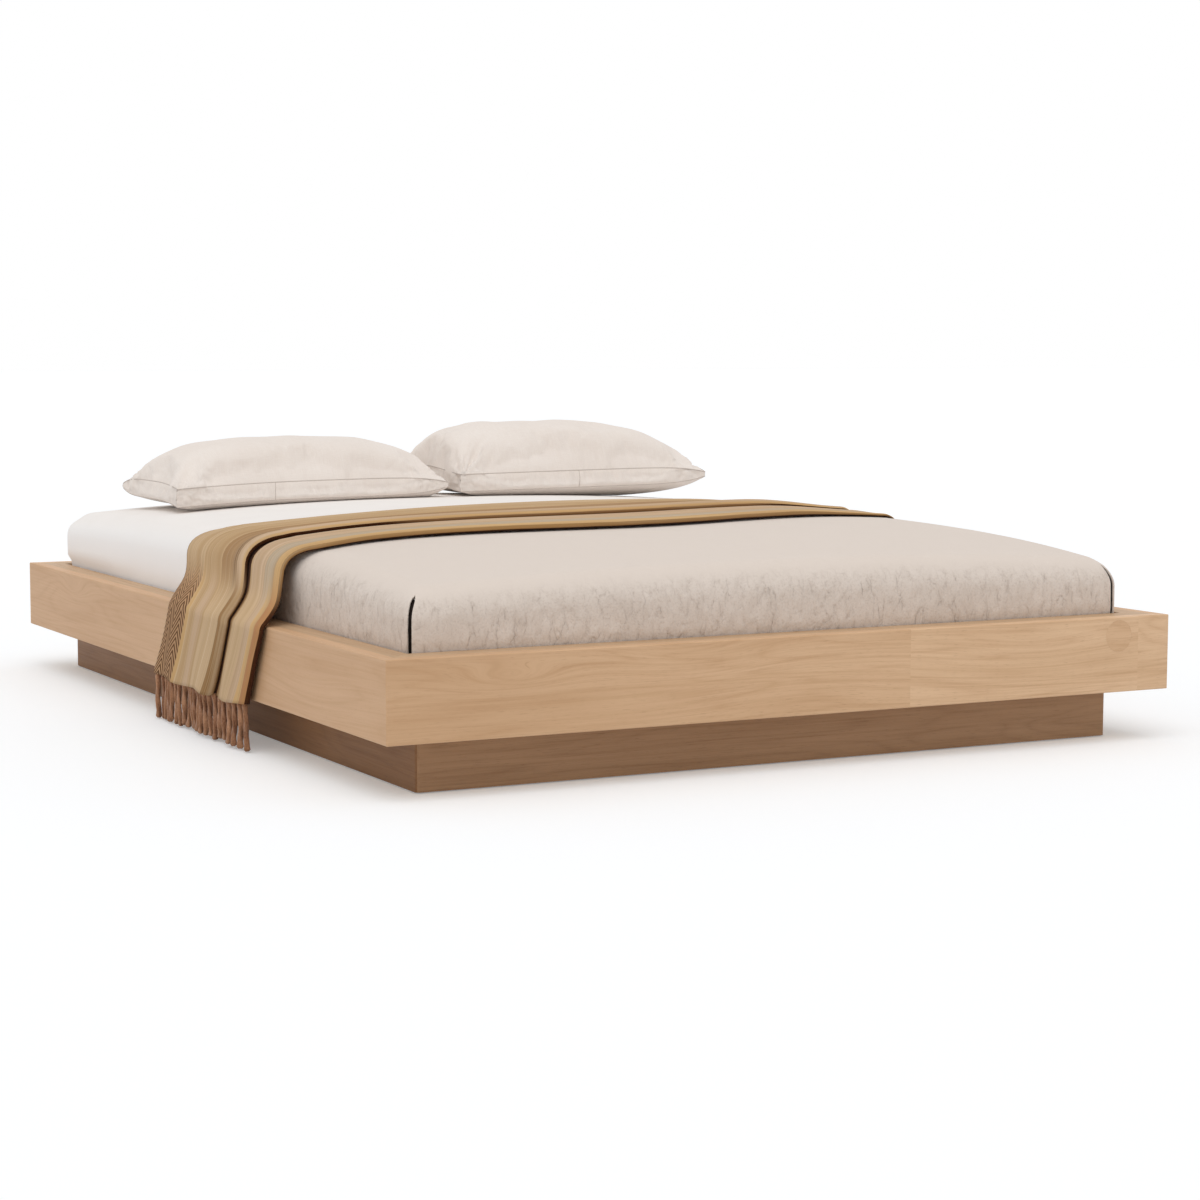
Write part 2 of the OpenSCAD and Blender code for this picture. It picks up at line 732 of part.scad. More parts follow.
// A box-edged pillow whose middle is at x: a plump top, a band between two seams, and an underside
// that hangs below its seam until it lies on the sheet
module pillow(x, seam, rise, left_power, right_power, droop) {
    nx = pillow_cells_x;
    ny = pillow_cells_y;
    count = (nx + 1) * (ny + 1);
    top = [
        for (i = [0 : nx], j = [0 : ny])
            let (u = 2 * i / nx - 1, v = 2 * j / ny - 1, p = pillow_plan(x, u, v, 0))
                [p[0], p[1], seam_plane(u, v, seam, droop) + upper_seam(u, v)
                 + rise * plump(u, v, left_power, right_power)]
    ];
    underside = [
        for (i = [0 : nx], j = [0 : ny])
            let (
                u = 2 * i / nx - 1,
                v = 2 * j / ny - 1,
                p = pillow_plan(x, u, v, 0),
                free = seam_plane(u, v, seam, droop) + lower_seam(u, v)
                    - pillow_sag * (1 - pow(max(abs(u), abs(v)), 3)),
                rest = crowned(p[0], p[1], mattress_h + sheet_t) + body_gap + pillow_lift
            ) [p[0], p[1], max(free, rest)]
    ];
    rim = net_rim(nx + 1, ny + 1);
    band = [
        for (k = rim)
            let (
                u = 2 * floor(k / (ny + 1)) / nx - 1,
                v = 2 * (k % (ny + 1)) / ny - 1,
                p = pillow_plan(x, u, v, band_bulge * (1 - near_point(u, v)))
            ) [p[0], p[1], seam_plane(u, v, seam, droop) + band_middle(u, v)]
    ];
    band_ring = [for (k = [0 : len(rim) - 1]) 2 * count + k];
    color(linen) polyhedron(concat(top, underside, band),
                            concat(net_faces(nx + 1, ny + 1, 0, true),
                                   net_faces(nx + 1, ny + 1, count),
                                   strip_faces(band_ring, rim),
                                   strip_faces(shifted(rim, count), band_ring)));
}

// The left pillow is full to both ends, and the right one slopes away to its right
module pillow_left() {
    pillow(pillow_shift - pillow_pitch / 2, pillow_left_seam, pillow_left_rise, 3.8, 3.4, pillow_droop);
}

module pillow_right() {
    pillow(pillow_shift + pillow_pitch / 2, pillow_right_seam, pillow_right_rise, 5, 2.4, 0);
}

fascia(FOOT);  // fascia_foot
fascia(RIGHT);  // fascia_right
fascia(HEAD);  // fascia_head
fascia(LEFT);  // fascia_left
cap(FOOT);  // cap_foot
cap(RIGHT);  // cap_right
cap(HEAD);  // cap_head
cap(LEFT);  // cap_left
liner(FOOT);  // liner_foot
liner(RIGHT);  // liner_right
liner(HEAD);  // liner_head
liner(LEFT);  // liner_left
bearer(FOOT);  // bearer_foot
bearer(RIGHT);  // bearer_right
bearer(HEAD);  // bearer_head
bearer(LEFT);  // bearer_left
corner_key(-1, -1);  // corner_key_foot_left
corner_key(1, -1);  // corner_key_foot_right
corner_key(-1, 1);  // corner_key_head_left
corner_key(1, 1);  // corner_key_head_right
wood_patch();
plinth_board(FOOT);  // plinth_foot
plinth_board(RIGHT);  // plinth_right
plinth_board(HEAD);  // plinth_head
plinth_board(LEFT);  // plinth_left
post(-1, -1);  // post_foot_left
post(1, -1);  // post_foot_right
post(-1, 1);  // post_head_left
post(1, 1);  // post_head_right
plinth_spine();
cross_board(-cross_y);  // cross_board_foot
cross_board(cross_y);  // cross_board_head
centre_bearer();
slat(1);  // slat_1
slat(2);  // slat_2
slat(3);  // slat_3
slat(4);  // slat_4
slat(5);  // slat_5
slat(6);  // slat_6
slat(7);  // slat_7
slat(8);  // slat_8
slat(9);  // slat_9
slat(10);  // slat_10
slat(11);  // slat_11
slat(12);  // slat_12
slat(13);  // slat_13
slat(14);  // slat_14
slat_screws();
platform_bolts();
floor_pads();
mattress();
fitted_sheet();
coverlet();
throw();
fringe(-1);  // fringe_left
fringe(1);  // fringe_right
pillow_left();
pillow_right();
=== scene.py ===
"""Looks of a low-profile platform bed in pale oak, dressed with its bedding.

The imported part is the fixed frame. Its boards, slats and fixings stay and get their finishes here,
and each soft piece is made here and stands for its plain solid. Lengths are metres, +X is to the
right seen from the foot, +Y points at the head and the floor is at z = 0.
"""

import json
import logging
import math
from dataclasses import dataclass
from enum import Enum
from typing import Any, Callable, Sequence

import bmesh
import bpy
import numpy as np
from mathutils import Matrix, Vector, noise


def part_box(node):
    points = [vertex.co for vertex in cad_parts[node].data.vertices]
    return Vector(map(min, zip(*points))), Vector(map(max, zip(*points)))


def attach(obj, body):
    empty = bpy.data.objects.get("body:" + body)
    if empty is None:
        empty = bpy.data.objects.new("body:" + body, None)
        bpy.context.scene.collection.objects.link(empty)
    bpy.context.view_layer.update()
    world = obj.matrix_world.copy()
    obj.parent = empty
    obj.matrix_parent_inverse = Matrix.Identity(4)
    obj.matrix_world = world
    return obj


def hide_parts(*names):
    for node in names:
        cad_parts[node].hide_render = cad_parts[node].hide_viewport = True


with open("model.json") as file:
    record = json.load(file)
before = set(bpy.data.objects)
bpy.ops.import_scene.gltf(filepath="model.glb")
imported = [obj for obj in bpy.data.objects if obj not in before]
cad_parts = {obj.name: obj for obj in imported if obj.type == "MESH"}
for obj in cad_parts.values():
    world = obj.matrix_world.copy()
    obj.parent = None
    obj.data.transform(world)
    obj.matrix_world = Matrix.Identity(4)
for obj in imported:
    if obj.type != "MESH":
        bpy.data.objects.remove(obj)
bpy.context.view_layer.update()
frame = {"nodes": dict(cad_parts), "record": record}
log = logging.getLogger("platform_bed")

Colour = tuple[float, float, float]
Socket = bpy.types.NodeSocket
Array = np.ndarray
Material = bpy.types.Material
Piece = bpy.types.Object
Faces = list[tuple[int, ...]]
Pairs = tuple[Array, Array]
# A run is the bases and the angles of columns, and stripes are distances with the colours from there on
Run = Pairs
Stripes = list[tuple[float, Colour]]
Pair = tuple[float, float]
Triple = tuple[float, float, float]
Knots = tuple[Pair, ...]
MM = 0.001
# Points of nets that meet lie closer together than this, and are joined
WELD = 1e-5


def shade(red: int, green: int, blue: int) -> Colour:
    """The linear colour of red, green and blue given as a screen shows them, 0 to 255."""
    return tuple((c / 255 / 12.92) if c < 11 else ((c / 255 + 0.055) / 1.055) ** 2.4
                 for c in (red, green, blue))


def smooth(low: float, high: float, value: Array | float) -> Array | float:
    """An eased share that goes from 0 at low to 1 at high."""
    t = np.clip((value - low) / (high - low), 0, 1)
    return t * t * (3 - 2 * t)


def wobble(points: Array, size: Sequence[float] | float, seed: float) -> Array:
    """Soft noise of about -1 to 1 at each point, with humps of a size in metres."""
    scaled = points / np.asarray(size, float) + seed
    return np.array([noise.noise(Vector(p)) for p in scaled])


def humps(points: Array, size: Sequence[float] | float, seed: float) -> Array:
    """The same noise as wobble's, from about 0 to 1."""
    return 0.5 + 0.5 * wobble(points, size, seed)


class Grain(Enum):
    """The axis along which a board's grain runs, with the axes across it."""

    ALONG_X = "XYZ"
    ALONG_Y = "YXZ"
    UPRIGHT = "ZXY"


@dataclass(frozen=True)
class Layer:
    """A layer of noise in a finish: its cell in metres, its place in the noise, and its fineness."""

    cell: Triple
    shift: float = 0.0
    detail: float = 2.0
    rough: float = 0.5
    warp: float = 0.0


class Nodes:
    """A node tree, with short calls for the nodes that the finishes and the sky share."""

    def __init__(self, tree: bpy.types.NodeTree) -> None:
        """Takes the tree that the nodes go into."""
        self.tree = tree

    def feed(self, socket: Socket, value: Any) -> None:
        """Links a socket to another one, or sets its own value.

        Args:
            socket: The input to fill.
            value: An output to link, a number, or a colour or vector.
        """
        if isinstance(value, Socket):
            self.tree.links.new(value, socket)
        elif isinstance(value, tuple) and len(value) == 3 and socket.type == "RGBA":
            socket.default_value = (*value, 1)
        else:
            socket.default_value = value

    def add(self, kind: str, settings: dict[str, Any] | None = None, **inputs: Any) -> bpy.types.Node:
        """Adds a node.

        Args:
            kind: The node's type without its ShaderNode prefix.
            settings: Properties of the node.
            inputs: Its inputs by name, with _ for a blank.

        Returns:
            The new node.
        """
        node = self.tree.nodes.new("ShaderNode" + kind)
        for key, value in (settings or {}).items():
            setattr(node, key, value)
        for key, value in inputs.items():
            self.feed(node.inputs[key.replace("_", " ")], value)
        return node

    def maths(self, operation: str, a: Any, b: Any = 0.0, c: Any = 0.0) -> Socket:
        """A Math node's result.

        Args:
            operation: The operation's name.
            a: First operand.
            b: Second operand.
            c: Third operand.

        Returns:
            The output socket.
        """
        node = self.add("Math", {"operation": operation})
        for socket, value in zip(node.inputs, (a, b, c)):
            self.feed(socket, value)
        return node.outputs[0]

    def plus(self, a: Any, b: Any) -> Socket:
        """The sum of two values."""
        return self.maths("ADD", a, b)

    def times(self, a: Any, b: Any) -> Socket:
        """The product of two values."""
        return self.maths("MULTIPLY", a, b)

    def scaled(self, a: Any, factor: Any, addend: Any) -> Socket:
        """A value times a factor, plus an addend."""
        return self.maths("MULTIPLY_ADD", a, factor, addend)


class Recipe(Nodes):
    """A material's node tree round its Principled shader."""

    def __init__(self, name: str) -> None:
        """Starts a material.

        Args:
            name: The material's name.
        """
        self.material = bpy.data.materials.new(name)
        self.material.use_nodes = True
        super().__init__(self.material.node_tree)
        self.shader = self.tree.nodes["Principled BSDF"]

    def own(self, **inputs: Any) -> None:
        """Fills inputs of the Principled shader by name, with _ for a blank."""
        for key, value in inputs.items():
            self.feed(self.shader.inputs[key.replace("_", " ")], value)

    def places(self) -> Socket:
        """The piece's own coordinates in metres."""
        return self.add("TexCoord").outputs["Object"]

    def laid(self) -> Socket:
        """The cloth's own coordinates in metres, from its UV map."""
        return self.add("UVMap", {"uv_map": "cloth"}).outputs["UV"]

    def parts(self, vector: Socket) -> bpy.types.NodeOutputs:
        """The X, Y and Z of a vector."""
        return self.add("SeparateXYZ", Vector=vector).outputs

    def upward(self) -> Socket:
        """How far the surface faces up, from -1 to 1."""
        return self.parts(self.add("NewGeometry").outputs["Normal"])[2]

    def joined(self, x: Any, y: Any, z: Any) -> Socket:
        """A vector of three values."""
        return self.add("CombineXYZ", X=x, Y=y, Z=z).outputs[0]

    def grid(self, vector: Any, cell: Triple, shift: float = 0.0) -> Socket:
        """A vector counted in cells and shifted."""
        return self.add("Mapping", Vector=vector, Scale=tuple(1 / size for size in cell),
                        Location=(shift, shift * 0.7, shift * 1.3)).outputs[0]

    def speckle(self, vector: Any, detail: float = 2.0, rough: float = 0.5, warp: float = 0.0) -> Socket:
        """A noise texture's value at coordinates that are counted in cells."""
        return self.add("TexNoise", Vector=vector, Scale=1.0, Detail=detail, Roughness=rough,
                        Distortion=warp).outputs[0]

    def cloud(self, vector: Any, layer: Layer, shift: float = 0.0) -> Socket:
        """A layer's value at coordinates in metres."""
        cells = self.grid(vector, layer.cell, shift + layer.shift)
        return self.speckle(cells, layer.detail, layer.rough, layer.warp)

    def ramp(self, factor: Any, stops: Sequence[tuple[float, Any]], steps: bool = False) -> Socket:
        """A colour ramp's result.

        Args:
            factor: Where to read the ramp.
            stops: Places from 0 to 1 with a grey value or a colour each.
            steps: Keeps each colour up to the next place.

        Returns:
            The colour.
        """
        node = self.add("ValToRGB", Fac=factor)
        band = node.color_ramp
        band.interpolation = "CONSTANT" if steps else "LINEAR"
        while len(band.elements) < len(stops):
            band.elements.new(1.0)
        for element, (place, value) in zip(band.elements, stops):
            element.position = place
            element.color = (*((value,) * 3 if isinstance(value, (int, float)) else value), 1)
        return node.outputs[0]

    def rise(self, value: Any, low: float, high: float) -> Socket:
        """A share that rises from 0 at low to 1 at high."""
        return self.ramp(value, ((low, 0.0), (high, 1.0)))

    def fall(self, value: Any, low: float, high: float) -> Socket:
        """A share that falls from 1 at low to 0 at high."""
        return self.ramp(value, ((low, 1.0), (high, 0.0)))

    def eased(self, value: Any, low: float, high: float, least: float = 0.0) -> Socket:
        """A share that rises along a smooth step."""
        return self.add("MapRange", {"interpolation_type": "SMOOTHSTEP"}, Value=value, From_Min=low,
                        From_Max=high, To_Min=least, To_Max=1.0).outputs[0]

    def mix(self, factor: Any, a: Any, b: Any) -> Socket:
        """Two colours mixed.

        Args:
            factor: Share of the second.
            a: First colour.
            b: Second colour.

        Returns:
            The mixed colour.
        """
        # The colour sockets share their names with the number ones, so they are taken by their place
        node = self.add("Mix", {"data_type": "RGBA"})
        self.feed(node.inputs["Factor"], factor)
        self.feed(node.inputs[6], a)
        self.feed(node.inputs[7], b)
        return node.outputs[2]

    def stain(self, colour: Any, tint: Any, mask: Any, share: float) -> Socket:
        """A colour with a share of a tint laid over it where a mask shows."""
        return self.mix(self.times(mask, share), colour, tint)

    def relief(self, height: Any, depth: float, below: Any = None) -> Socket:
        """A bumped normal.

        Args:
            height: Height from 0 to 1.
            depth: The real height of 1, in metres.
            below: A normal that is already bumped.

        Returns:
            The normal.
        """
        node = self.add("Bump", Height=height, Strength=1.0, Distance=depth)
        if below is not None:
            self.feed(node.inputs["Normal"], below)
        return node.outputs[0]


@dataclass(frozen=True)
class Figure:
    """A place where the grain sweeps round a knot, in a board's length and height."""

    along: float
    up: float
    half_length: float
    half_height: float
    pull: float

    def bend(self, r: Recipe, along: Socket, up: Socket) -> Socket:
        """How far the grain is pulled aside.

        Args:
            r: The material's recipe.
            along: Place along the board.
            up: Place over its height.

        Returns:
            The shift over its height.
        """
        x = r.scaled(along, 1 / self.half_length, -self.along / self.half_length)
        z = r.scaled(up, 1 / self.half_height, -self.up / self.half_height)
        away = r.scaled(x, x, r.times(z, z))
        return r.times(r.maths("EXPONENT", r.times(away, -1.0)), self.pull)


@dataclass(frozen=True)
class WoodFinish:
    """Oiled timber with growth rings, fibres and pores that follow each board's length."""

    pale: Colour
    warm: Colour
    ring: Colour
    pore: Colour
    roughness: float = 0.52
    ring_share: float = 0.42
    pore_share: float = 0.3
    fibre_share: float = 0.30
    thread_share: float = 0.16
    ring_count: float = 11.0
    stave_step: float = 3.37
    stave_ways: Triple = (1.0, 0.31, 0.23)
    # The first stave is darkened, most at the board's low end and less at the first joint
    stave_from: float = -0.8
    first_stave_darkening: Pair = (0.46, 0.16)
    drift: Layer = Layer((0.85, 0.075, 0.075), 0, 2, 0.45, 0.25)
    slow: Layer = Layer((0.7, 0.06, 0.06), 5)
    fibres: Layer = Layer((0.30, 0.0042, 0.0042), 9, 3, 0.6)
    threads: Layer = Layer((0.11, 0.0014, 0.0014), 2, 2, 0.55)
    vessels: Layer = Layer((0.020, 0.0009, 0.0009), 3, 1)
    # How a ring fades from its line and breaks up, and between which values the other layers show
    ring_profile: Knots = ((0.0, 1.0), (0.16, 0.42), (0.5, 0.0))
    ring_breaks: Knots = ((0.25, 0.45), (0.7, 1.0))
    warm_shows: Pair = (0.3, 0.7)
    fibres_show: Pair = (0.46, 0.72)
    threads_show: Pair = (0.48, 0.8)
    pores_show: Pair = (0.62, 0.74)
    rough_spread: float = 0.16
    depth: float = 0.00018

    def board(self, name: str, grain: Grain, shift: float, joints: Sequence[float] = (),
              tone: float = 0.0, figures: Sequence[Figure] = ()) -> Material:
        """The material of one board.

        Args:
            name: The material's name.
            grain: The axis of the grain.
            shift: Takes the figure from another part of the tree.
            joints: Places along the board where two staves are joined end to end.
            tone: How much darker this board is than the others: the patch's own tone, and painted shade on
                the side fascias.
            figures: Places where the grain sweeps round a knot.

        Returns:
            The material.
        """
        r = Recipe(name)
        axes = r.parts(r.places())
        along, across, up = (axes["XYZ".index(axis)] for axis in grain.value)
        for figure in figures:
            up = r.plus(up, figure.bend(r, along, up))
        stave: Any = shift
        for joint in joints:
            stave = r.plus(stave, r.times(r.maths("GREATER_THAN", along, joint), self.stave_step))
        moved = zip(self.stave_ways, (along, across, up))
        place = r.joined(*(r.scaled(stave, way, axis) for way, axis in moved))
        slow, drift, fibre, thread, vessel = (r.cloud(place, layer, shift) for layer in (
            self.slow, self.drift, self.fibres, self.threads, self.vessels))
        rings = r.ramp(r.maths("PINGPONG", r.times(drift, self.ring_count), 0.5), self.ring_profile)
        ringed = r.times(rings, r.ramp(fibre, self.ring_breaks))
        pores = r.rise(vessel, *self.pores_show)
        colour = r.mix(r.rise(slow, *self.warm_shows), self.pale, self.warm)
        colour = r.stain(colour, self.ring, ringed, self.ring_share)
        colour = r.stain(colour, self.ring, r.rise(fibre, *self.fibres_show), self.fibre_share)
        colour = r.stain(colour, self.pore, r.rise(thread, *self.threads_show), self.thread_share)
        colour = r.stain(colour, self.pore, pores, self.pore_share)
        # Darker towards the board's low end, over its first stave
        if joints:
            fading = r.add("MapRange", Value=along, From_Min=self.stave_from, From_Max=joints[0],
                           To_Min=self.first_stave_darkening[0], To_Max=self.first_stave_darkening[1]).outputs[0]
            colour = r.mix(r.times(r.maths("LESS_THAN", along, joints[0]), fading), colour, self.ring)
        if tone:
            colour = r.mix(tone, colour, self.ring)
        height = r.plus(r.times(thread, 0.5), r.times(pores, -0.5))
        rough = r.scaled(fibre, self.rough_spread, self.roughness - self.rough_spread / 2)
        r.own(Base_Color=colour, Roughness=rough, Specular_IOR_Level=0.36,
              Normal=r.relief(height, self.depth))
        return r.material


OAK = WoodFinish(shade(233, 196, 158), shade(220, 182, 143), shade(190, 146, 105), shade(152, 109, 72))
# The caps' oak is darkened by painted shade of the bedding over the ledge
CAP_OAK_PAINTED_SHADE = WoodFinish(shade(206, 173, 138), shade(195, 162, 126), shade(168, 130, 94), shade(138, 100, 68))
# The plinth's oak is darkened by painted shade under the rail's overhang, the sides' most, where the throw
# hangs above them
PLINTH_OAK_PAINTED_SHADE = WoodFinish(shade(176, 138, 104), shade(166, 128, 94), shade(140, 102, 70), shade(110, 76, 50),
                        roughness=0.55)
PLINTH_SIDE_OAK_PAINTED_SHADE = WoodFinish(shade(148, 106, 68), shade(138, 97, 60), shade(116, 78, 46), shade(90, 56, 32),
                             roughness=0.55)
PINE = WoodFinish(shade(236, 214, 172), shade(228, 200, 152), shade(205, 160, 105), shade(190, 140, 92),
                  roughness=0.62, ring_share=0.6, pore_share=0.12)


@dataclass(frozen=True)
class SteelFinish:
    """Zinc-plated steel of screws and bolts, with the plating's faint clouding."""

    colour: Colour = (0.56, 0.57, 0.59)
    clouded: Colour = (0.66, 0.62, 0.50)
    clouding: Layer = Layer((0.004, 0.004, 0.004), 0, 3, 0.6)
    clouded_share: float = 0.4
    roughness: float = 0.24
    rough_spread: float = 0.2
    depth: float = 0.00005

    def material(self, name: str) -> Material:
        """The material.

        Args:
            name: The material's name.

        Returns:
            The material.
        """
        r = Recipe(name)
        clouding = r.cloud(r.places(), self.clouding)
        r.own(Base_Color=r.stain(self.colour, self.clouded, clouding, self.clouded_share),
              Metallic=0.95, Roughness=r.scaled(clouding, self.rough_spread, self.roughness),
              Normal=r.relief(clouding, self.depth))
        return r.material


@dataclass(frozen=True)
class FeltFinish:
    """Pressed grey felt of the floor pads, with matted hairs."""

    dark: Colour = (0.065, 0.058, 0.052)
    light: Colour = (0.16, 0.145, 0.13)
    hairs: Layer = Layer((0.0011, 0.0011, 0.0008), 0, 4, 0.7, 1.2)
    depth: float = 0.0004

    def material(self, name: str) -> Material:
        """The material.

        Args:
            name: The material's name.

        Returns:
            The material.
        """
        r = Recipe(name)
        hairs = r.cloud(r.places(), self.hairs)
        r.own(Base_Color=r.mix(hairs, self.dark, self.light), Roughness=0.95,
              Specular_IOR_Level=0.15, Sheen_Weight=0.3, Normal=r.relief(hairs, self.depth))
        return r.material


@dataclass(frozen=True)
class PlainCloth:
    """A plain-woven cloth: threads both ways, thicker ones here and there, and a soft nap."""

    light: Colour
    dark: Colour
    thread: float
    slub: float
    depth: float
    sheen: float = 0.12
    # Painted light: a paler colour for the faces that turn away from straight up, on the sheet's sides
    painted_side_light: Colour | None = None
    stretch: float = 26.0
    nap: Layer = Layer((0.11, 0.11, 0.11), 2, 3)
    nap_share: float = 0.35
    dark_shows: Pair = (0.3, 0.75)
    painted_side_light_fades: Pair = (0.1, 0.85)

    def material(self, name: str) -> Material:
        """The material of a piece whose weave follows its own X, Y and Z.

        Args:
            name: The material's name.

        Returns:
            The material.
        """
        r = Recipe(name)
        place = r.places()
        thin, drawn = self.thread, self.thread * self.stretch
        warp = r.cloud(place, Layer((thin, drawn, drawn), 0, 2, 0.6))
        weft = r.cloud(place, Layer((drawn, thin, thin), 4, 2, 0.6))
        woven = r.times(r.plus(warp, weft), 0.5)
        tone = r.plus(r.times(woven, self.slub), r.times(r.cloud(place, self.nap), self.nap_share))
        colour = r.mix(r.rise(tone, *self.dark_shows), self.light, self.dark)
        # Painted light on the faces that turn away from straight up
        if self.painted_side_light:
            colour = r.mix(r.fall(r.upward(), *self.painted_side_light_fades), colour, self.painted_side_light)
        r.own(Base_Color=colour, Roughness=0.86, Specular_IOR_Level=0.2,
              Sheen_Weight=self.sheen, Normal=r.relief(woven, self.depth))
        return r.material


# The cotton's last colour is painted light on the sheet's sides
COTTON = PlainCloth(shade(246, 241, 237), shade(239, 233, 228), 0.0006, 0.5, 0.00012, 0.06,
                    shade(253, 250, 248))
LINEN = PlainCloth(shade(247, 239, 232), shade(235, 224, 215), 0.0011, 0.9, 0.0003)
PIPING = PlainCloth(shade(214, 203, 194), shade(190, 178, 169), 0.0008, 0.8, 0.0002)
# Near-black cloth of the strips behind the coverlet's slits, which stand for painted shade
SLIT_SHADE_CLOTH = PlainCloth(shade(34, 24, 18), shade(24, 16, 12), 0.0012, 0.8, 0.0003, 0.02)
TICKING = PlainCloth(shade(238, 236, 230), shade(222, 219, 212), 0.0013, 0.8, 0.0004)


@dataclass(frozen=True)
class ChenilleFinish:
    """Crinkled beige chenille, smooth when flat, with painted shade on its upright faces and creases."""

    pale: Colour = shade(229, 216, 205)
    # deep darkens the upright faces, partly as mottle and partly as painted shade; the crease colour is
    # painted shade
    deep: Colour = shade(217, 203, 191)
    crease_shade: Colour = shade(160, 141, 126)
    mottle: Layer = Layer((0.035, 0.035, 0.05), 0, 4, 0.62, 0.6)
    blotch: Layer = Layer((0.16, 0.16, 0.12), 3)
    pile: Layer = Layer((0.0021, 0.0021, 0.0021), 0, 3, 0.7)
    breaks: Layer = Layer((0.020, 0.020, 0.034), 7, 4, 0.65)
    specks: Layer = Layer((0.0042, 0.0042, 0.0042), 11, 2, 0.6)
    crease_cell: Triple = (0.017, 0.017, 0.05)
    shake_cell: Triple = (0.010, 0.010, 0.016)
    shake: float = 0.62
    # How a crease fades sideways, between which values the layers show, and their shares
    crease_profile: Knots = ((0.0, 1.0), (0.06, 0.45), (0.22, 0.0))
    upright_fades: Pair = (0.3, 0.8)
    creases_show: Pair = (0.44, 0.68)
    shading_shows: Pair = (0.35, 0.66)
    pile_shows: Pair = (0.5, 0.8)
    specks_show: Pair = (0.5, 0.72)
    mottle_share: float = 0.6
    blotch_share: float = 0.4
    upright_contrast: float = 0.72
    flat_contrast: float = 0.08
    pile_share: float = 0.25
    crease_shade_share: float = 0.36
    specks_share: float = 0.22
    crease_depth: float = 0.0015
    mottle_depth: float = 0.004
    pile_depth: float = 0.0006

    def material(self, name: str) -> Material:
        """The material: mottling, a fine pile, and painted shade on its upright faces and in their creases.

        Args:
            name: The material's name.

        Returns:
            The material.
        """
        r = Recipe(name)
        place = r.places()
        upright = r.fall(r.upward(), *self.upright_fades)
        mottle, blotch, pile, breaks, specks = (r.cloud(place, layer) for layer in (
            self.mottle, self.blotch, self.pile, self.breaks, self.specks))
        shaking = r.add("TexNoise", Vector=r.grid(place, self.shake_cell), Scale=1.0, Detail=4.0)
        shaken = r.add("VectorMath", {"operation": "SCALE"}, Scale=self.shake)
        r.feed(shaken.inputs[0], shaking.outputs["Color"])
        bent = r.add("VectorMath", {"operation": "ADD"})
        r.feed(bent.inputs[0], r.grid(place, self.crease_cell))
        r.feed(bent.inputs[1], shaken.outputs[0])
        cells = r.add("TexVoronoi", {"feature": "DISTANCE_TO_EDGE"}, Vector=bent.outputs[0], Scale=1.0)
        lines = r.ramp(cells.outputs["Distance"], self.crease_profile)
        creases = r.times(r.times(lines, r.rise(breaks, *self.creases_show)), upright)
        shading = r.plus(r.times(mottle, self.mottle_share), r.times(blotch, self.blotch_share))
        # Painted shade: the upright faces take much more of the darker colour than the flat top
        contrast = r.scaled(upright, self.upright_contrast, self.flat_contrast)
        colour = r.mix(r.times(r.rise(shading, *self.shading_shows), contrast), self.pale, self.deep)
        colour = r.stain(colour, self.deep, r.rise(pile, *self.pile_shows), self.pile_share)
        # Painted shade in the creases, and dark specks of the same colour on the upright faces
        colour = r.stain(colour, self.crease_shade, creases, self.crease_shade_share)
        specks = r.times(r.rise(specks, *self.specks_show), upright)
        colour = r.stain(colour, self.crease_shade, specks, self.specks_share)
        worn = r.relief(r.times(mottle, upright), self.mottle_depth, r.relief(pile, self.pile_depth))
        r.own(Base_Color=colour, Roughness=0.92, Specular_IOR_Level=0.15, Sheen_Weight=0.2,
              Normal=r.relief(creases, -self.crease_depth, worn))
        return r.material


@dataclass(frozen=True)
class Streak:
    """Fine streaks in the wool: how fine and how long they are, where they show, and their colour."""

    across: float
    along: float
    low: float
    high: float
    share: float
    tint: Colour


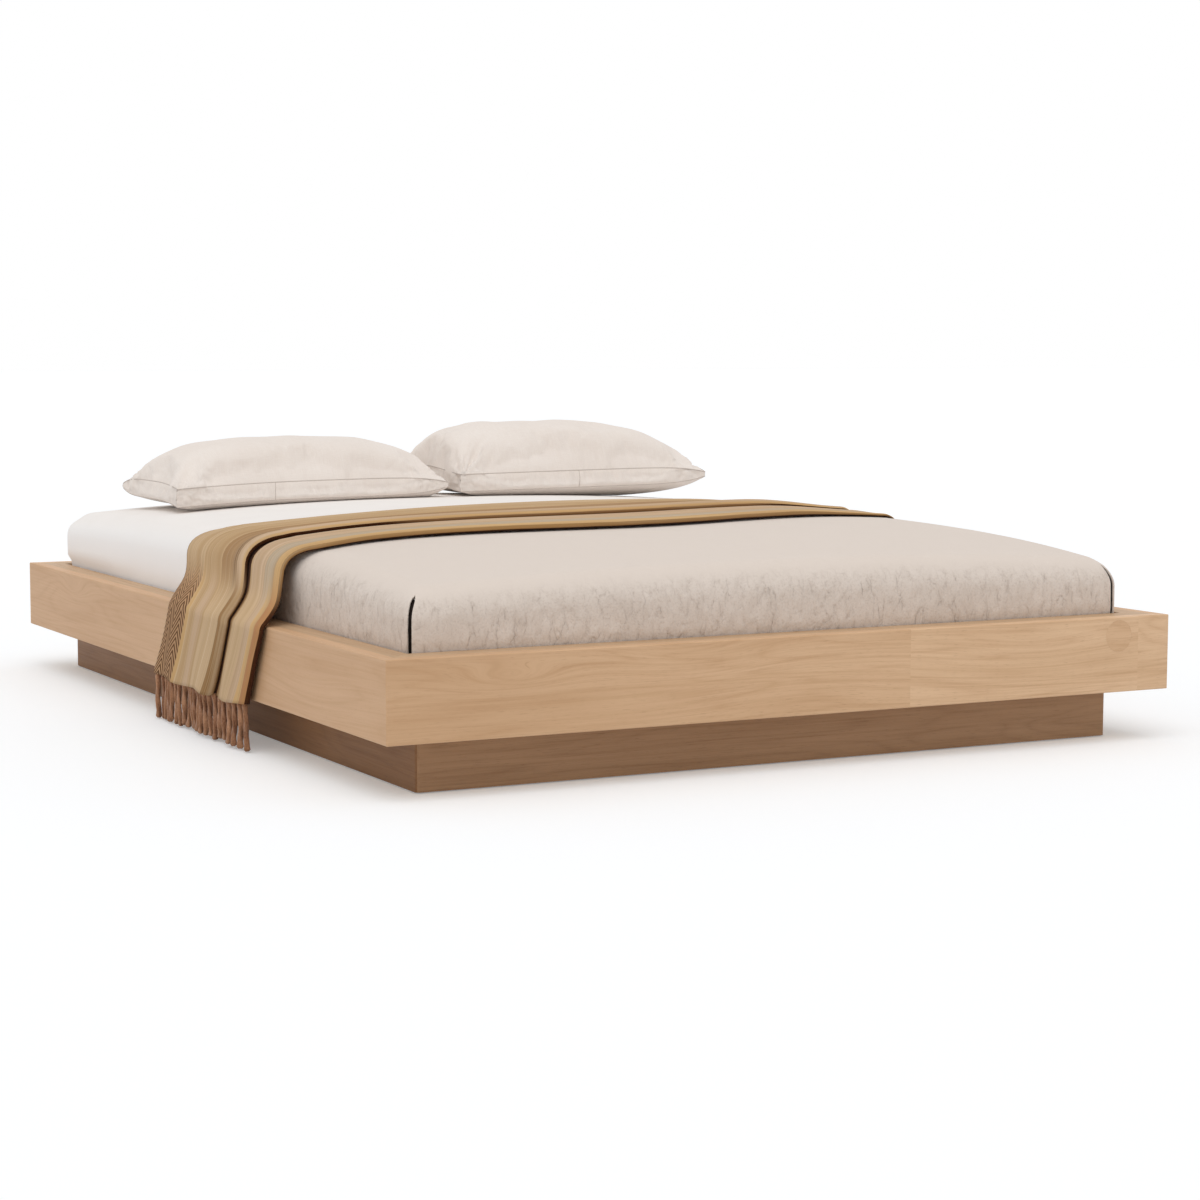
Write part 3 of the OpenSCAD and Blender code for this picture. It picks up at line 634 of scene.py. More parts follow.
@dataclass(frozen=True)
class WoolFinish:
    """Striped wool, whose stripes lie at distances across the flat cloth; the deep ones are painted shade.
    """

    herringbone: Colour = shade(190, 150, 112)
    herringbone_dark: Colour = shade(92, 60, 36)
    golden: Colour = shade(218, 180, 128)
    amber: Colour = shade(190, 148, 96)
    beige: Colour = shade(212, 182, 144)
    sand: Colour = shade(202, 169, 128)
    brown: Colour = shade(172, 136, 98)
    pale: Colour = shade(226, 202, 168)
    olive: Colour = shade(152, 116, 74)
    # The deep colour is painted shade, for the valleys between the folds and the near edge's underside
    deep: Colour = shade(66, 33, 14)
    ash: Colour = shade(198, 180, 156)
    rose: Colour = shade(212, 183, 152)
    # The crease colour is painted shade, the dark line on the bed behind the panel's ridge
    crease_shade: Colour = shade(134, 101, 70)
    rust: Colour = shade(188, 134, 90)
    hairs: Layer = Layer((0.0016, 0.0016, 0.0016), 0, 3, 0.7)
    # The herringbone's teeth a metre each way, and the width of one row of them
    bones_along: float = 72.0
    bones_across: float = 80.0
    bone: float = 0.034
    bones_show: Pair = (0.3, 0.6)
    rib: float = 0.0026
    rib_lean: float = 0.6
    rib_height: float = 0.5
    hair_height: float = 0.7
    hairs_show: Pair = (0.45, 0.8)
    hairs_share: float = 0.22
    streak_shift: float = 3.7
    depth: float = 0.0006
    # How uneven the stripes' edges are, in metres across and in humps a metre along
    ragged: float = 0.002
    ragged_humps: float = 9.0
    # Distances before the turn at the ledge where the drop's colours and the painted shade in the folds come
    # in
    turning: Pair = (0.13, 0.01)
    fold_shade_fade: Pair = (0.53, 0.40)
    fold_shade_least: float = 0.3
    fold_shade_near: float = 0.45

    def material(self, name: str, on_drop: Stripes, on_top: Stripes, width: float, zigzag_from: float,
                 ledge_at: float) -> Material:
        """The material of the throw.

        Args:
            name: The material's name.
            on_drop: Distances across the flat cloth with the colour that starts there, near the hems.
            on_top: The same for the stretch on the bed.
            width: The cloth's flat width.
            zigzag_from: The distance across at which the herringbone strip starts.
            ledge_at: Distance from the cloth's middle to where it turns down.

        Returns:
            The material.
        """
        r = Recipe(name)
        axes = r.parts(r.laid())
        length, across = axes[0], axes[1]
        out = r.maths("ABSOLUTE", length)
        down = r.eased(out, *(ledge_at - before for before in self.turning))
        edge = r.speckle(r.joined(r.times(length, self.ragged_humps), across, 0), 1)
        uneven = r.scaled(edge, self.ragged, r.maths("SUBTRACT", across, self.ragged / 2))
        place = r.maths("DIVIDE", uneven, width)

        def striped(value_of: Callable[[Colour], Any]) -> Socket:
            """Each stripe's value, on the bed and near the hems."""
            top, drop = (r.ramp(place, [(at / width, value_of(colour)) for at, colour in run], steps=True)
                         for run in (on_top, on_drop))
            return r.mix(down, top, drop)

        # The cloth shows brown where the painted shade fades out
        colour = striped(lambda stripe: self.brown if stripe == self.deep else stripe)
        streaks = (Streak(210, 2.2, 0.42, 0.66, 0.34, self.brown),
                   Streak(74, 1.3, 0.50, 0.72, 0.42, self.amber),
                   Streak(120, 1.7, 0.54, 0.74, 0.50, self.pale),
                   Streak(34, 0.9, 0.48, 0.75, 0.25, self.brown))
        for number, streak in enumerate(streaks):
            fine = r.joined(r.times(length, streak.along), r.times(across, streak.across),
                            self.streak_shift * number)
            seen = r.rise(r.speckle(fine, 2, 0.55), streak.low, streak.high)
            colour = r.stain(colour, streak.tint, seen, streak.share)
        bones = r.plus(r.times(length, self.bones_along),
                       r.times(r.maths("PINGPONG", across, self.bone), self.bones_across))
        bones = r.scaled(r.maths("SINE", r.times(bones, math.tau)), 0.5, 0.5)
        zigzag = r.mix(r.rise(bones, *self.bones_show), self.herringbone_dark, self.herringbone)
        colour = r.mix(r.times(r.maths("GREATER_THAN", across, zigzag_from), down), colour, zigzag)
        # Painted shade: deep brown over the fold valleys and the near edge, weaker on the bed away from the
        # ledge, full across the near part
        fold_shade_share = r.eased(out, *(ledge_at - before for before in self.fold_shade_fade), self.fold_shade_least)
        fold_shade_share = r.maths("MAXIMUM", fold_shade_share, r.maths("LESS_THAN", across, width * self.fold_shade_near))
        folds = striped(lambda stripe: 1.0 if stripe == self.deep else 0.0)
        colour = r.mix(r.times(folds, fold_shade_share), colour, self.deep)
        rib = r.times(r.plus(r.times(length, self.rib_lean), across), math.tau / self.rib)
        rib = r.scaled(r.maths("SINE", rib), 0.5, 0.5)
        hairs = r.cloud(r.places(), self.hairs)
        colour = r.stain(colour, self.brown, r.rise(hairs, *self.hairs_show), self.hairs_share)
        height = r.plus(r.times(rib, self.rib_height), r.times(hairs, self.hair_height))
        r.own(Base_Color=colour, Roughness=0.95, Specular_IOR_Level=0.05, Sheen_Weight=0.04,
              Normal=r.relief(height, self.depth))
        return r.material


@dataclass(frozen=True)
class YarnFinish:
    """Plied terracotta-brown yarn of the fringe, with hairs and faded stretches."""

    light: Colour = shade(202, 152, 116)
    dark: Colour = shade(116, 74, 50)
    hairs: Layer = Layer((0.0011, 0.0011, 0.004), 0, 3, 0.7)
    fading: Layer = Layer((0.02, 0.02, 0.05), 2)
    hairs_share: float = 0.6
    faded_share: float = 0.4
    light_shows: Pair = (0.35, 0.65)
    depth: float = 0.0007

    def material(self, name: str) -> Material:
        """The material.

        Args:
            name: The material's name.

        Returns:
            The material.
        """
        r = Recipe(name)
        hairs, faded = (r.cloud(r.places(), layer) for layer in (self.hairs, self.fading))
        tone = r.plus(r.times(hairs, self.hairs_share), r.times(faded, self.faded_share))
        tone = r.rise(tone, *self.light_shows)
        r.own(Base_Color=r.mix(tone, self.dark, self.light), Roughness=0.92, Specular_IOR_Level=0.15,
              Sheen_Weight=0.25, Normal=r.relief(hairs, self.depth))
        return r.material


def net_faces(columns: int, rows: int, ringed: bool = False, closed: bool = False) -> Faces:
    """Quads of a net of points that are held column by column.

    Args:
        columns: Number of columns.
        rows: Points in a column.
        ringed: Joins each column's last point to its first.
        closed: Joins the last column to the first.

    Returns:
        The quads as indices.
    """
    return [(i * rows + j, (i + 1) % columns * rows + j,
             (i + 1) % columns * rows + (j + 1) % rows, i * rows + (j + 1) % rows)
            for i in range(columns if closed else columns - 1) for j in range(rows if ringed else rows - 1)]


def end_faces(columns: int, rows: int) -> Faces:
    """The two faces that close a net whose columns are rings."""
    return [tuple(range(rows)), tuple((columns - 1) * rows + j for j in reversed(range(rows)))]


def piece_of(name: str, points: Array, faces: Sequence[Sequence[int]], flat: Array | None = None,
             weld: float = 0.0) -> Piece:
    """A smooth-shaded piece.

    Args:
        name: The piece's name.
        points: Its points, one a row.
        faces: Its faces as indices.
        flat: The cloth's own coordinates at each point.
        weld: Joins points that lie closer than this.

    Returns:
        The new object.
    """
    mesh = bpy.data.meshes.new(name)
    mesh.from_pydata(np.asarray(points, float).tolist(), [], [tuple(f) for f in faces])
    if flat is not None:
        layer = mesh.uv_layers.new(name="cloth")
        corners = np.empty(len(mesh.loops), int)
        mesh.loops.foreach_get("vertex_index", corners)
        layer.data.foreach_set("uv", np.asarray(flat, float)[corners].ravel())
    made = bmesh.new()
    made.from_mesh(mesh)
    if weld:
        bmesh.ops.remove_doubles(made, verts=made.verts, dist=weld)
    bmesh.ops.recalc_face_normals(made, faces=made.faces)
    made.to_mesh(mesh)
    made.free()
    mesh.shade_smooth()
    piece = bpy.data.objects.new(name, mesh)
    bpy.context.scene.collection.objects.link(piece)
    return piece


def thicken(piece: Piece, thickness: float, offset: float) -> None:
    """Gives a sheet its thickness.

    Args:
        piece: The sheet.
        thickness: How thick it gets.
        offset: -1 to grow inwards, 1 to grow outwards.
    """
    solid = piece.modifiers.new("thickness", "SOLIDIFY")
    solid.thickness = thickness
    solid.offset = offset
    solid.use_rim = True


def tube(path: Array, radius: float, sides: int, closed: bool = False) -> tuple[Array, Faces]:
    """A round tube along a path.

    Args:
        path: The path's points, one a row.
        radius: The tube's radius.
        sides: Its number of sides.
        closed: Joins its last ring to its first.

    Returns:
        Its points and its faces.
    """
    ahead = np.roll(path, -1, 0) - np.roll(path, 1, 0)
    if not closed:
        ahead[0], ahead[-1] = path[1] - path[0], path[-1] - path[-2]
    ahead /= np.linalg.norm(ahead, axis=1)[:, None]
    guide = np.where(np.abs(ahead[:, 2:]) > 0.8, (1.0, 0.0, 0.0), (0.0, 0.0, 1.0))
    side = np.cross(ahead, guide)
    side /= np.linalg.norm(side, axis=1)[:, None]
    over = np.cross(side, ahead)
    turns = np.arange(sides) / sides * math.tau
    ring = np.cos(turns)[None, :, None] * side[:, None] + np.sin(turns)[None, :, None] * over[:, None]
    faces = net_faces(len(path), sides, ringed=True, closed=closed)
    if not closed:
        faces += end_faces(len(path), sides)
    return (path[:, None] + radius * ring).reshape(-1, 3), faces


def dress(piece: Piece, material: Material, slot: str, body: str, *nodes: str) -> Piece:
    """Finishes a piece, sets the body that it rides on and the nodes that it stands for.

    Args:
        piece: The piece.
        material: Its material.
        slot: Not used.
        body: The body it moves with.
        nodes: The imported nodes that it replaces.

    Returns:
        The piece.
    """
    piece.data.materials.append(material)
    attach(piece, body)
    if nodes:
        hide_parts(*nodes)
    log.info("%s: %d faces, on %s", piece.name, len(piece.data.polygons), body)
    return piece


@dataclass
class Timber:
    """The box rail, the plinth, the slats and their fixings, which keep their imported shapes."""

    stave_joints: Pair = (0.225, 0.764)
    edge: float = 0.0008
    edge_angle: float = 50.0
    edge_steps: int = 2
    first_shift: float = 1.7
    shift_step: float = 2.13
    patch_tone: float = 0.24
    # Painted shade that darkens the side fascias against the foot fascia
    painted_side_shade: float = 0.50
    foot_figures: tuple[Figure, ...] = (
        Figure(-0.612, 0.204, 0.105, 0.022, 0.034), Figure(-0.235, 0.245, 0.150, 0.050, 0.030),
        Figure(-0.02, 0.150, 0.240, 0.050, -0.022), Figure(0.520, 0.190, 0.200, 0.045, 0.022))
    side_figures: tuple[Figure, ...] = (
        Figure(0.716, 0.213, 0.110, 0.025, 0.030), Figure(-0.72, 0.150, 0.240, 0.050, 0.025))

    def finish(self, node: str, material: Material, eased: bool = True) -> None:
        """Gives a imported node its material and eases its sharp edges.

        Args:
            node: The node's name.
            material: Its material.
            eased: Whether its edges are eased.
        """
        board = frame["nodes"][node]
        board.data.materials.clear()
        board.data.materials.append(material)
        if eased:
            bevel = board.modifiers.new("eased edges", "BEVEL")
            bevel.width = self.edge
            bevel.segments = self.edge_steps
            bevel.limit_method = "ANGLE"
            bevel.angle_limit = math.radians(self.edge_angle)
        log.info("%s: %s", node, material.name)

    def grain_of(self, node: str) -> Grain:
        """The axis of a board's grain, by the longest side of its box.

        Args:
            node: The node's name.

        Returns:
            The grain's axis.
        """
        low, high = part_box(node)
        size = high - low
        return (Grain.ALONG_X, Grain.ALONG_Y, Grain.UPRIGHT)[max(range(3), key=lambda axis: size[axis])]

    def oak_of(self, node: str) -> WoodFinish:
        """The finish of a board's oak, which painted shade darkens on the caps and the plinth.

        Args:
            node: The board's node.

        Returns:
            The finish.
        """
        if node in ("plinth_left", "plinth_right"):
            return PLINTH_SIDE_OAK_PAINTED_SHADE
        darker_boards = {"cap": CAP_OAK_PAINTED_SHADE, "plinth": PLINTH_OAK_PAINTED_SHADE}
        return darker_boards.get(node.split("_")[0], OAK)

    def build(self) -> None:
        """Finishes every node of the bed frame."""
        # The patch is darker by its own tone, the side fascias by painted shade
        darker_boards = {"wood_patch": self.patch_tone, "fascia_left": self.painted_side_shade,
                 "fascia_right": self.painted_side_shade}
        figures = {"fascia_foot": self.foot_figures, "fascia_left": self.side_figures,
                   "fascia_right": self.side_figures}
        boards = {m["node"]: m["material_slot"] for m in frame["record"]["subparts"]}
        for number, (node, slot) in enumerate(boards.items()):
            shift = self.first_shift + self.shift_step * number
            if slot == "oak":
                joints = self.stave_joints if node == "fascia_foot" else ()
                grain = Grain.ALONG_X if node == "wood_patch" else self.grain_of(node)
                finish = self.oak_of(node).board(node + "_oak", grain, shift, joints, darker_boards.get(node, 0.0),
                                                 figures.get(node, ()))
                self.finish(node, finish, eased=node.startswith(("cap", "plinth", "liner")))
            elif slot == "pine":
                self.finish(node, PINE.board(node + "_pine", self.grain_of(node), shift))
            elif slot == "zinc_steel":
                self.finish(node, SteelFinish().material(node + "_steel"), eased=False)
            elif slot == "felt":
                self.finish(node, FeltFinish().material(node + "_felt"), eased=False)


@dataclass(frozen=True)
class BeddingForm:
    """The crowned form of the mattress, which the sheet, the coverlet and the throw lie on."""

    half_width: float
    half_length: float
    base: float
    height: float = 0.198
    shoulder: float = 0.046
    crown_along: float = 0.038
    crown_across: float = 0.030
    head_rise: float = 0.017
    along_power: float = 3.2
    across_power: float = 2.2
    foot_flatness: float = 0.25
    flattest_at: float = -0.4

    @property
    def flat_x(self) -> float:
        """Half width of the top inside the shoulders."""
        return self.half_width - self.shoulder

    @property
    def flat_y(self) -> float:
        """Half length of the top inside the shoulders."""
        return self.half_length - self.shoulder

    def lines(self, cells_x: int, cells_y: int) -> Pairs:
        """Places of the columns and of the rows of a net over the flat top."""
        ends = ((self.flat_x, cells_x), (self.flat_y, cells_y))
        return tuple(np.linspace(-end, end, cells + 1) for end, cells in ends)

    def crown(self, x: Array, y: Array) -> Array:
        """How far the top stands above its foot corners.

        Args:
            x: Places across the bed.
            y: Places along the bed.

        Returns:
            The heights.
        """
        along, across = np.abs(y) / self.half_length, np.abs(x) / self.half_width
        flatter = 1 - self.foot_flatness * smooth(0.0, self.flattest_at, y)
        return (self.crown_along * (1 - np.minimum(1, along) ** self.along_power)
                + self.crown_across * flatter * (1 - np.minimum(1, across) ** self.across_power)
                + self.head_rise * np.clip(y / self.half_length, 0, 1) ** self.along_power)

    def lifted(self, x: Array, y: Array, z: Array | float) -> Array:
        """Height above the floor of a point at the height z of a flat-topped mattress."""
        return self.base + z * (1 + self.crown(x, y) / self.height)


def outwards(turns: Array, power: Array | float) -> Array:
    """The way outwards round a corner whose plan is squarer than a circle."""
    way = np.round([np.cos(turns), np.sin(turns)], 9)
    return np.sign(way) * np.abs(way) ** (2 / power)


@dataclass
class Skin:
    """A cloth over the mattress: a net on the top, and columns of points that hang from its edge."""

    form: BeddingForm
    offset: float
    hem: float
    corner: Pair = (0.026, 0.026)
    shoulder_cells: int = 10
    drop_cells: int = 8
    # Where on the shoulder the corner's radius in plan begins to change from the first to the second
    corner_from: float = 0.4

    def rings(self) -> Array:
        """The rings of points, from the top's edge to the hem.

        Returns:
            Distance outwards, height and corner power of each.
        """
        f = self.form
        radius, level = f.shoulder + self.offset, f.height - f.shoulder
        turns = np.linspace(0, math.pi / 2, self.shoulder_cells + 1)
        drop = np.linspace(level, self.hem, self.drop_cells + 1)[1:]
        out = np.concatenate([radius * np.sin(turns), np.full(len(drop), radius)])
        height = np.concatenate([level + radius * np.cos(turns), drop])
        below = smooth(self.corner_from, 1.0, out / radius)
        rounding = self.corner[0] + (self.corner[1] - self.corner[0]) * below
        power = math.log(0.5) / np.log(1 - (1 - math.cos(math.pi / 4)) * rounding / f.shoulder)
        return np.stack([out, height, power], 1)

    def top(self, xs: Array, ys: Array) -> Array:
        """Points of the net on the top."""
        x, y = np.meshgrid(xs, ys, indexing="ij")
        return np.stack([x, y, self.form.lifted(x, y, self.form.height + self.offset)], -1)

    def hung(self, bases: Array, turns: Array) -> Array:
        """Columns of points from the top's edge down to the hem.

        Args:
            bases: The place on the flat top's edge of each column.
            turns: The way that each column goes outwards, as an angle from +X.

        Returns:
            The points by column and ring.
        """
        out, height, power = self.rings().T
        x, y = bases.T[..., None] + out * outwards(turns[:, None], power)
        return np.stack([x, y, self.form.lifted(x, y, height)], -1)


def corner_run(base: Pair, start: float, end: float, cells: int) -> Run:
    """Columns that turn round one corner of the mattress, from one angle in degrees to another."""
    return np.tile(base, (cells + 1, 1)).astype(float), np.radians(np.linspace(start, end, cells + 1))


def side_run(start: Pair, end: Pair, turn: float, cells: int) -> Run:
    """Columns along one straight side, which all go outwards the same way."""
    return np.linspace(start, end, cells + 1), np.full(cells + 1, math.radians(turn))


def joined_runs(*runs: Run) -> Run:
    """Runs of columns put one after another, with each shared column kept once."""
    bases, turns = (np.concatenate([kind[0]] + [run[1:] for run in kind[1:]]) for kind in zip(*runs))
    return bases, turns


def whole_rim(form: BeddingForm, cells_x: int, cells_y: int, corner_cells: int) -> Run:
    """Columns all round the mattress, anticlockwise from the foot's right corner.

    Args:
        form: The bedding's form.
        cells_x: Cells along the foot and the head.
        cells_y: Cells along each side.
        corner_cells: Cells round each corner.

    Returns:
        The bases and the angles, with the first column again at the end.
    """
    x, y = form.flat_x, form.flat_y
    corners = ((x, -y), (x, y), (-x, y), (-x, -y), (x, -y))
    runs = []
    for number, (start, end) in enumerate(zip(corners, corners[1:])):
        turn = 90 * number
        runs.append(side_run(start, end, turn, cells_x if number % 2 else cells_y))
        runs.append(corner_run(end, turn, turn + 90, corner_cells))
    return joined_runs(*runs)


class Cut:
    """Nets of points gathered into one mesh."""

    def __init__(self) -> None:
        """Starts with no points."""
        self.points: list[Array] = []
        self.faces: Faces = []
        self.count = 0

    def add(self, points: Array, faces: Sequence[tuple[int, ...]]) -> None:
        """Adds points with their faces.

        Args:
            points: The points, one a row.
            faces: Their faces, counted from the first of these points.
        """
        self.points.append(points)
        self.faces += [tuple(self.count + i for i in face) for face in faces]
        self.count += len(points)

    def net(self, points: Array) -> None:
        """Adds a net of points by column and row."""
        self.add(points.reshape(-1, 3), net_faces(*points.shape[:2]))

    def piece(self, name: str, weld: float = 0.0) -> Piece:
        """Makes the piece."""
        return piece_of(name, np.concatenate(self.points), self.faces, weld=weld)


def read_points(piece: Piece) -> Pairs:
    """Reads where a piece's points are.

    Args:
        piece: The piece.

    Returns:
        Its points and their normals, one a row.
    """
    read = []
    for kind in ("co", "normal"):
        values = np.empty(len(piece.data.vertices) * 3)
        piece.data.vertices.foreach_get(kind, values)
        read.append(values.reshape(-1, 3))
    return read[0], read[1]


def write_points(piece: Piece, points: Array) -> None:
    """Moves the points of a piece to new places, one a row."""
    piece.data.vertices.foreach_set("co", points.ravel())
    piece.data.update()


def push(piece: Piece, amounts: Array) -> None:
    """Moves each point of a piece along its own normal."""
    places, normals = read_points(piece)
    write_points(piece, places + normals * amounts[:, None])


@dataclass
class Mattress:
    """The mattress in its ticking, with a quilted underside and a piped lower edge."""

    form: BeddingForm
    under_radius: float = 0.014
    quilt: float = 0.07
    quilt_depth: float = 0.003
    quilt_from: float = 0.03
    piping: float = 0.0028
    piping_up: float = 0.004
    cells_x: int = 56
    cells_y: int = 76
    corner_cells: int = 6

    def build(self) -> Piece:
        """Builds the mattress.

        Returns:
            The piece.
        """
        f = self.form
        skin = Skin(f, 0.0, self.under_radius, drop_cells=4)
        xs, ys = f.lines(self.cells_x, self.cells_y)
        bases, turns = whole_rim(f, self.cells_x, self.cells_y, self.corner_cells)
        sides = skin.hung(bases, turns)
        way = outwards(turns, skin.rings()[-1, 2]).T
        # Rows that turn in under the mattress, down to its flat underside
        under = []
        for turn in np.radians([22.5, 45, 67.5, 90]):
            place = bases + way * (f.shoulder - self.under_radius * (1 - math.cos(turn)))
            height = self.under_radius * (1 - math.sin(turn))
            under.append(np.column_stack([place, f.lifted(*place.T, height)]))
        under.append(np.column_stack([bases, np.full(len(bases), f.base)]))
        x, y = np.meshgrid(xs, ys, indexing="ij")
        across, back = (np.sin(math.pi * line / self.quilt) for line in (x + y, x - y))
        quilted = np.abs(across * back) ** 0.5
        edge = np.minimum(f.flat_x - np.abs(x), f.flat_y - np.abs(y))
        depth = self.quilt_depth * (1 - quilted) * smooth(0, self.quilt_from, edge)
        cut = Cut()
        cut.net(skin.top(xs, ys))
        cut.net(np.concatenate([sides, np.stack(under, 1)], 1))
        cut.net(np.stack([x, y, f.base + depth], -1))
        body = cut.piece("mattress_in_ticking", WELD)
        loop = sides[:-1, -1] + (0, 0, self.piping_up)
        cord = piece_of("mattress_piping", *tube(loop, self.piping, 8, closed=True))
        dress(cord, PIPING.material("piping_of_ticking"), "ticking", "mattress")
        dress(body, TICKING.material("ticking_weave"), "ticking", "mattress", "mattress")
        return body


@dataclass
class FittedSheet:
    """White sheet over the whole mattress, tucked in all round."""

    form: BeddingForm
    thickness: float = 0.0016
    overlap: float = 0.0002
    hem: float = 0.022
    # Where the sheet comes out from under the coverlet, and the pillows' patch that stays smooth
    bare_from: float = 0.05
    bare_over: float = 0.12
    pillows_x: Pair = (0.67, 0.72)
    pillows_y: tuple[float, float, float, float] = (0.46, 0.50, 0.95, 0.98)
    pillows_middle: float = 0.03
    # Heights over which the sides begin to hang freely above the rail
    ledge: Pair = (0.252, 0.275)
    ease: float = 0.0016
    side_ease: float = 0.0022
    bulge: float = 0.009
    cells_x: int = 120
    cells_y: int = 160
    corner_cells: int = 12

    def build(self) -> Piece:
        """Builds the sheet.

        Returns:
            The piece.
        """
        f = self.form
        skin = Skin(f, self.thickness, self.hem, drop_cells=10)
        cut = Cut()
        cut.net(skin.top(*f.lines(self.cells_x, self.cells_y)))
        cut.net(skin.hung(*whole_rim(f, self.cells_x, self.cells_y, self.corner_cells)))
        sheet = cut.piece("white_fitted_sheet", WELD)
        places, normals = read_points(sheet)
        x, y, z = places.T
        front, front_in, back_in, back = self.pillows_y
        bare = smooth(self.bare_from, self.bare_from + self.bare_over, y)
        under_pillows = (smooth(front, front_in, y) * smooth(back, back_in, y)
                         * smooth(self.pillows_x[1], self.pillows_x[0], np.abs(x - self.pillows_middle)))
        folds = humps(places, (0.16, 0.07, 0.12), 3.1)
        fine = humps(places, (0.045, 0.03, 0.06), 8.4)
        hanging = humps(places, (0.05, 0.05, 0.4), 5.5)
        upright = smooth(0.8, 0.3, normals[:, 2]) * smooth(*self.ledge, z)
        corner = smooth(0.35, 0.85, y) * smooth(0.5, 0.72, -x)
        push(sheet, self.ease * bare * (1 - under_pillows) * (0.75 * folds + 0.25 * fine)
             + upright * (self.side_ease * bare * hanging + self.bulge * corner))
        thicken(sheet, self.thickness - self.overlap, -1)
        dress(sheet, COTTON.material("white_cotton_weave"), "white_cotton", "mattress", "fitted_sheet")
        return sheet


@dataclass
class Coverlet:
    """Beige coverlet over the foot half, tucked into the rail, open in a slit at each foot corner."""

    form: BeddingForm
    below: float = 0.0017
    thickness: float = 0.0038
    overlap: float = 0.0002
    hem: float = 0.036
    end: float = -0.116
    corner: Pair = (0.026, 0.012)
    # The slits: their width, where they open and how far that shows, and their places in degrees
    slit: float = 0.008
    slit_from: float = 0.74
    slit_reach: float = 0.016
    left_slit: float = 225.0
    right_slit: float = 288.0
    # How far round each slit the strips of painted shade reach, in degrees
    slit_shade_turn: float = 24.0
    # Heights over which the cloth comes free of the rail, and the creases', humps' and bumps' depths
    ledge: Pair = (0.246, 0.262)
    crinkle: float = 0.0026
    side_hump: float = 0.0016
    top_hump: float = 0.0007
    bump: float = 0.0040
    bump_size: Triple = (0.020, 0.014, 0.012)
    shoulder_cells: int = 14
    cells_x: int = 290
    cells_y: int = 120
    corner_cells: int = 12

    def opened(self, columns: Array, end: int) -> None:
        """Draws one end of a panel away from its slit.

        Args:
            columns: The panel's points by column and ring.
            end: The end at the slit, 0 or -1.
        """
        radius = self.form.shoulder + self.below + self.thickness
        run = columns if end == 0 else columns[::-1]
        share = smooth(self.slit_from, 0.97, np.linalg.norm(run[0, :, :2] - run[0, 0, :2], axis=1) / radius)
        steps = np.linalg.norm(np.diff(run, axis=0, prepend=run[:1]), axis=-1)
        pull = self.slit / 2 * share * np.exp(-np.cumsum(steps, axis=0) / self.slit_reach)
        along = np.gradient(run, axis=0)
        along /= np.maximum(np.linalg.norm(along, axis=-1), 1e-9)[..., None]
        run += pull[..., None] * along

    def panels(self, skin: Skin) -> list[Array]:
        """The hanging panels of the left side, the foot and the right side, drawn away from the slits.

        Args:
            skin: The coverlet's skin.

        Returns:
            Each panel's points by column and ring.
        """
        x, y = self.form.flat_x, self.form.flat_y
        cells = self.corner_cells
        left = joined_runs(side_run((-x, self.end), (-x, -y), 180, self.cells_y),
                           corner_run((-x, -y), 180, self.left_slit, cells))
        foot = joined_runs(corner_run((-x, -y), self.left_slit, 270, cells),
                           side_run((-x, -y), (x, -y), 270, self.cells_x),
                           corner_run((x, -y), 270, self.right_slit, cells // 2))
        right = joined_runs(corner_run((x, -y), self.right_slit, 360, cells * 3 // 2),
                            side_run((x, -y), (x, self.end), 0, self.cells_y))
        panels = [skin.hung(*run) for run in (left, foot, right)]
        for number, end in ((0, -1), (1, 0), (1, -1), (2, 0)):
            self.opened(panels[number], end)
        return panels

    def crinkles(self, places: Array, normals: Array) -> Array:
        """How far the chenille stands out in creases, soft humps and a bump over each foot corner.

        Args:
            places: The coverlet's points.
            normals: Their normals.

        Returns:
            The distance along each normal.
        """
        f = self.form
        x, y, z = places.T
        upright = smooth(0.85, 0.35, normals[:, 2])
        above = smooth(*self.ledge, z)
        clear_of_throw = 1 - smooth(-0.62, -0.54, y)
        cracks = (np.abs(wobble(places, (0.020, 0.020, 0.060), 2.2))
                  + 0.6 * np.abs(wobble(places, (0.011, 0.011, 0.026), 6.1)))
        amounts = clear_of_throw * (
            self.crinkle * upright * (0.25 + 0.75 * above) * np.minimum(1, 1.4 * cracks)
            + self.side_hump * upright * above * humps(places, (0.09, 0.09, 0.12), 4.4)
            + self.top_hump * (1 - upright) * humps(places, (0.05, 0.05, 0.1), 9.0))
        for sign in (-1, 1):
            spot = (sign * (f.half_width - 0.018), -f.half_length + 0.012, f.base + 0.186)
            amounts += self.bump * np.exp(-np.linalg.norm((places - spot) / self.bump_size, axis=1) ** 2)
        to_corner = np.hypot(np.abs(x) - f.half_width, y + f.half_length)
        return (amounts * (1 - 0.7 * smooth(f.half_width - 0.02, f.half_width, x))
                * (0.35 + 0.65 * smooth(0.0, 0.05, to_corner)))

    def build(self) -> Piece:
        """Builds the coverlet.

        Returns:
            The piece.
        """
        x, y = self.form.flat_x, self.form.flat_y
        skin = Skin(self.form, self.below + self.thickness, self.hem, self.corner, self.shoulder_cells, 20)
        cut = Cut()
        cut.net(skin.top(np.linspace(-x, x, self.cells_x + 1), np.linspace(-y, self.end, self.cells_y + 1)))
        for panel in self.panels(skin):
            cut.net(panel)
        # The dark strips behind the slits are painted shade
        slit_shades = self.slit_shade()
        coverlet = cut.piece("beige_coverlet", WELD)
        push(coverlet, self.crinkles(*read_points(coverlet)))
        thicken(coverlet, self.thickness - self.overlap, -1)
        chenille = ChenilleFinish().material("beige_chenille")
        dress(coverlet, chenille, "coverlet_cloth", "mattress", "coverlet")
        return coverlet

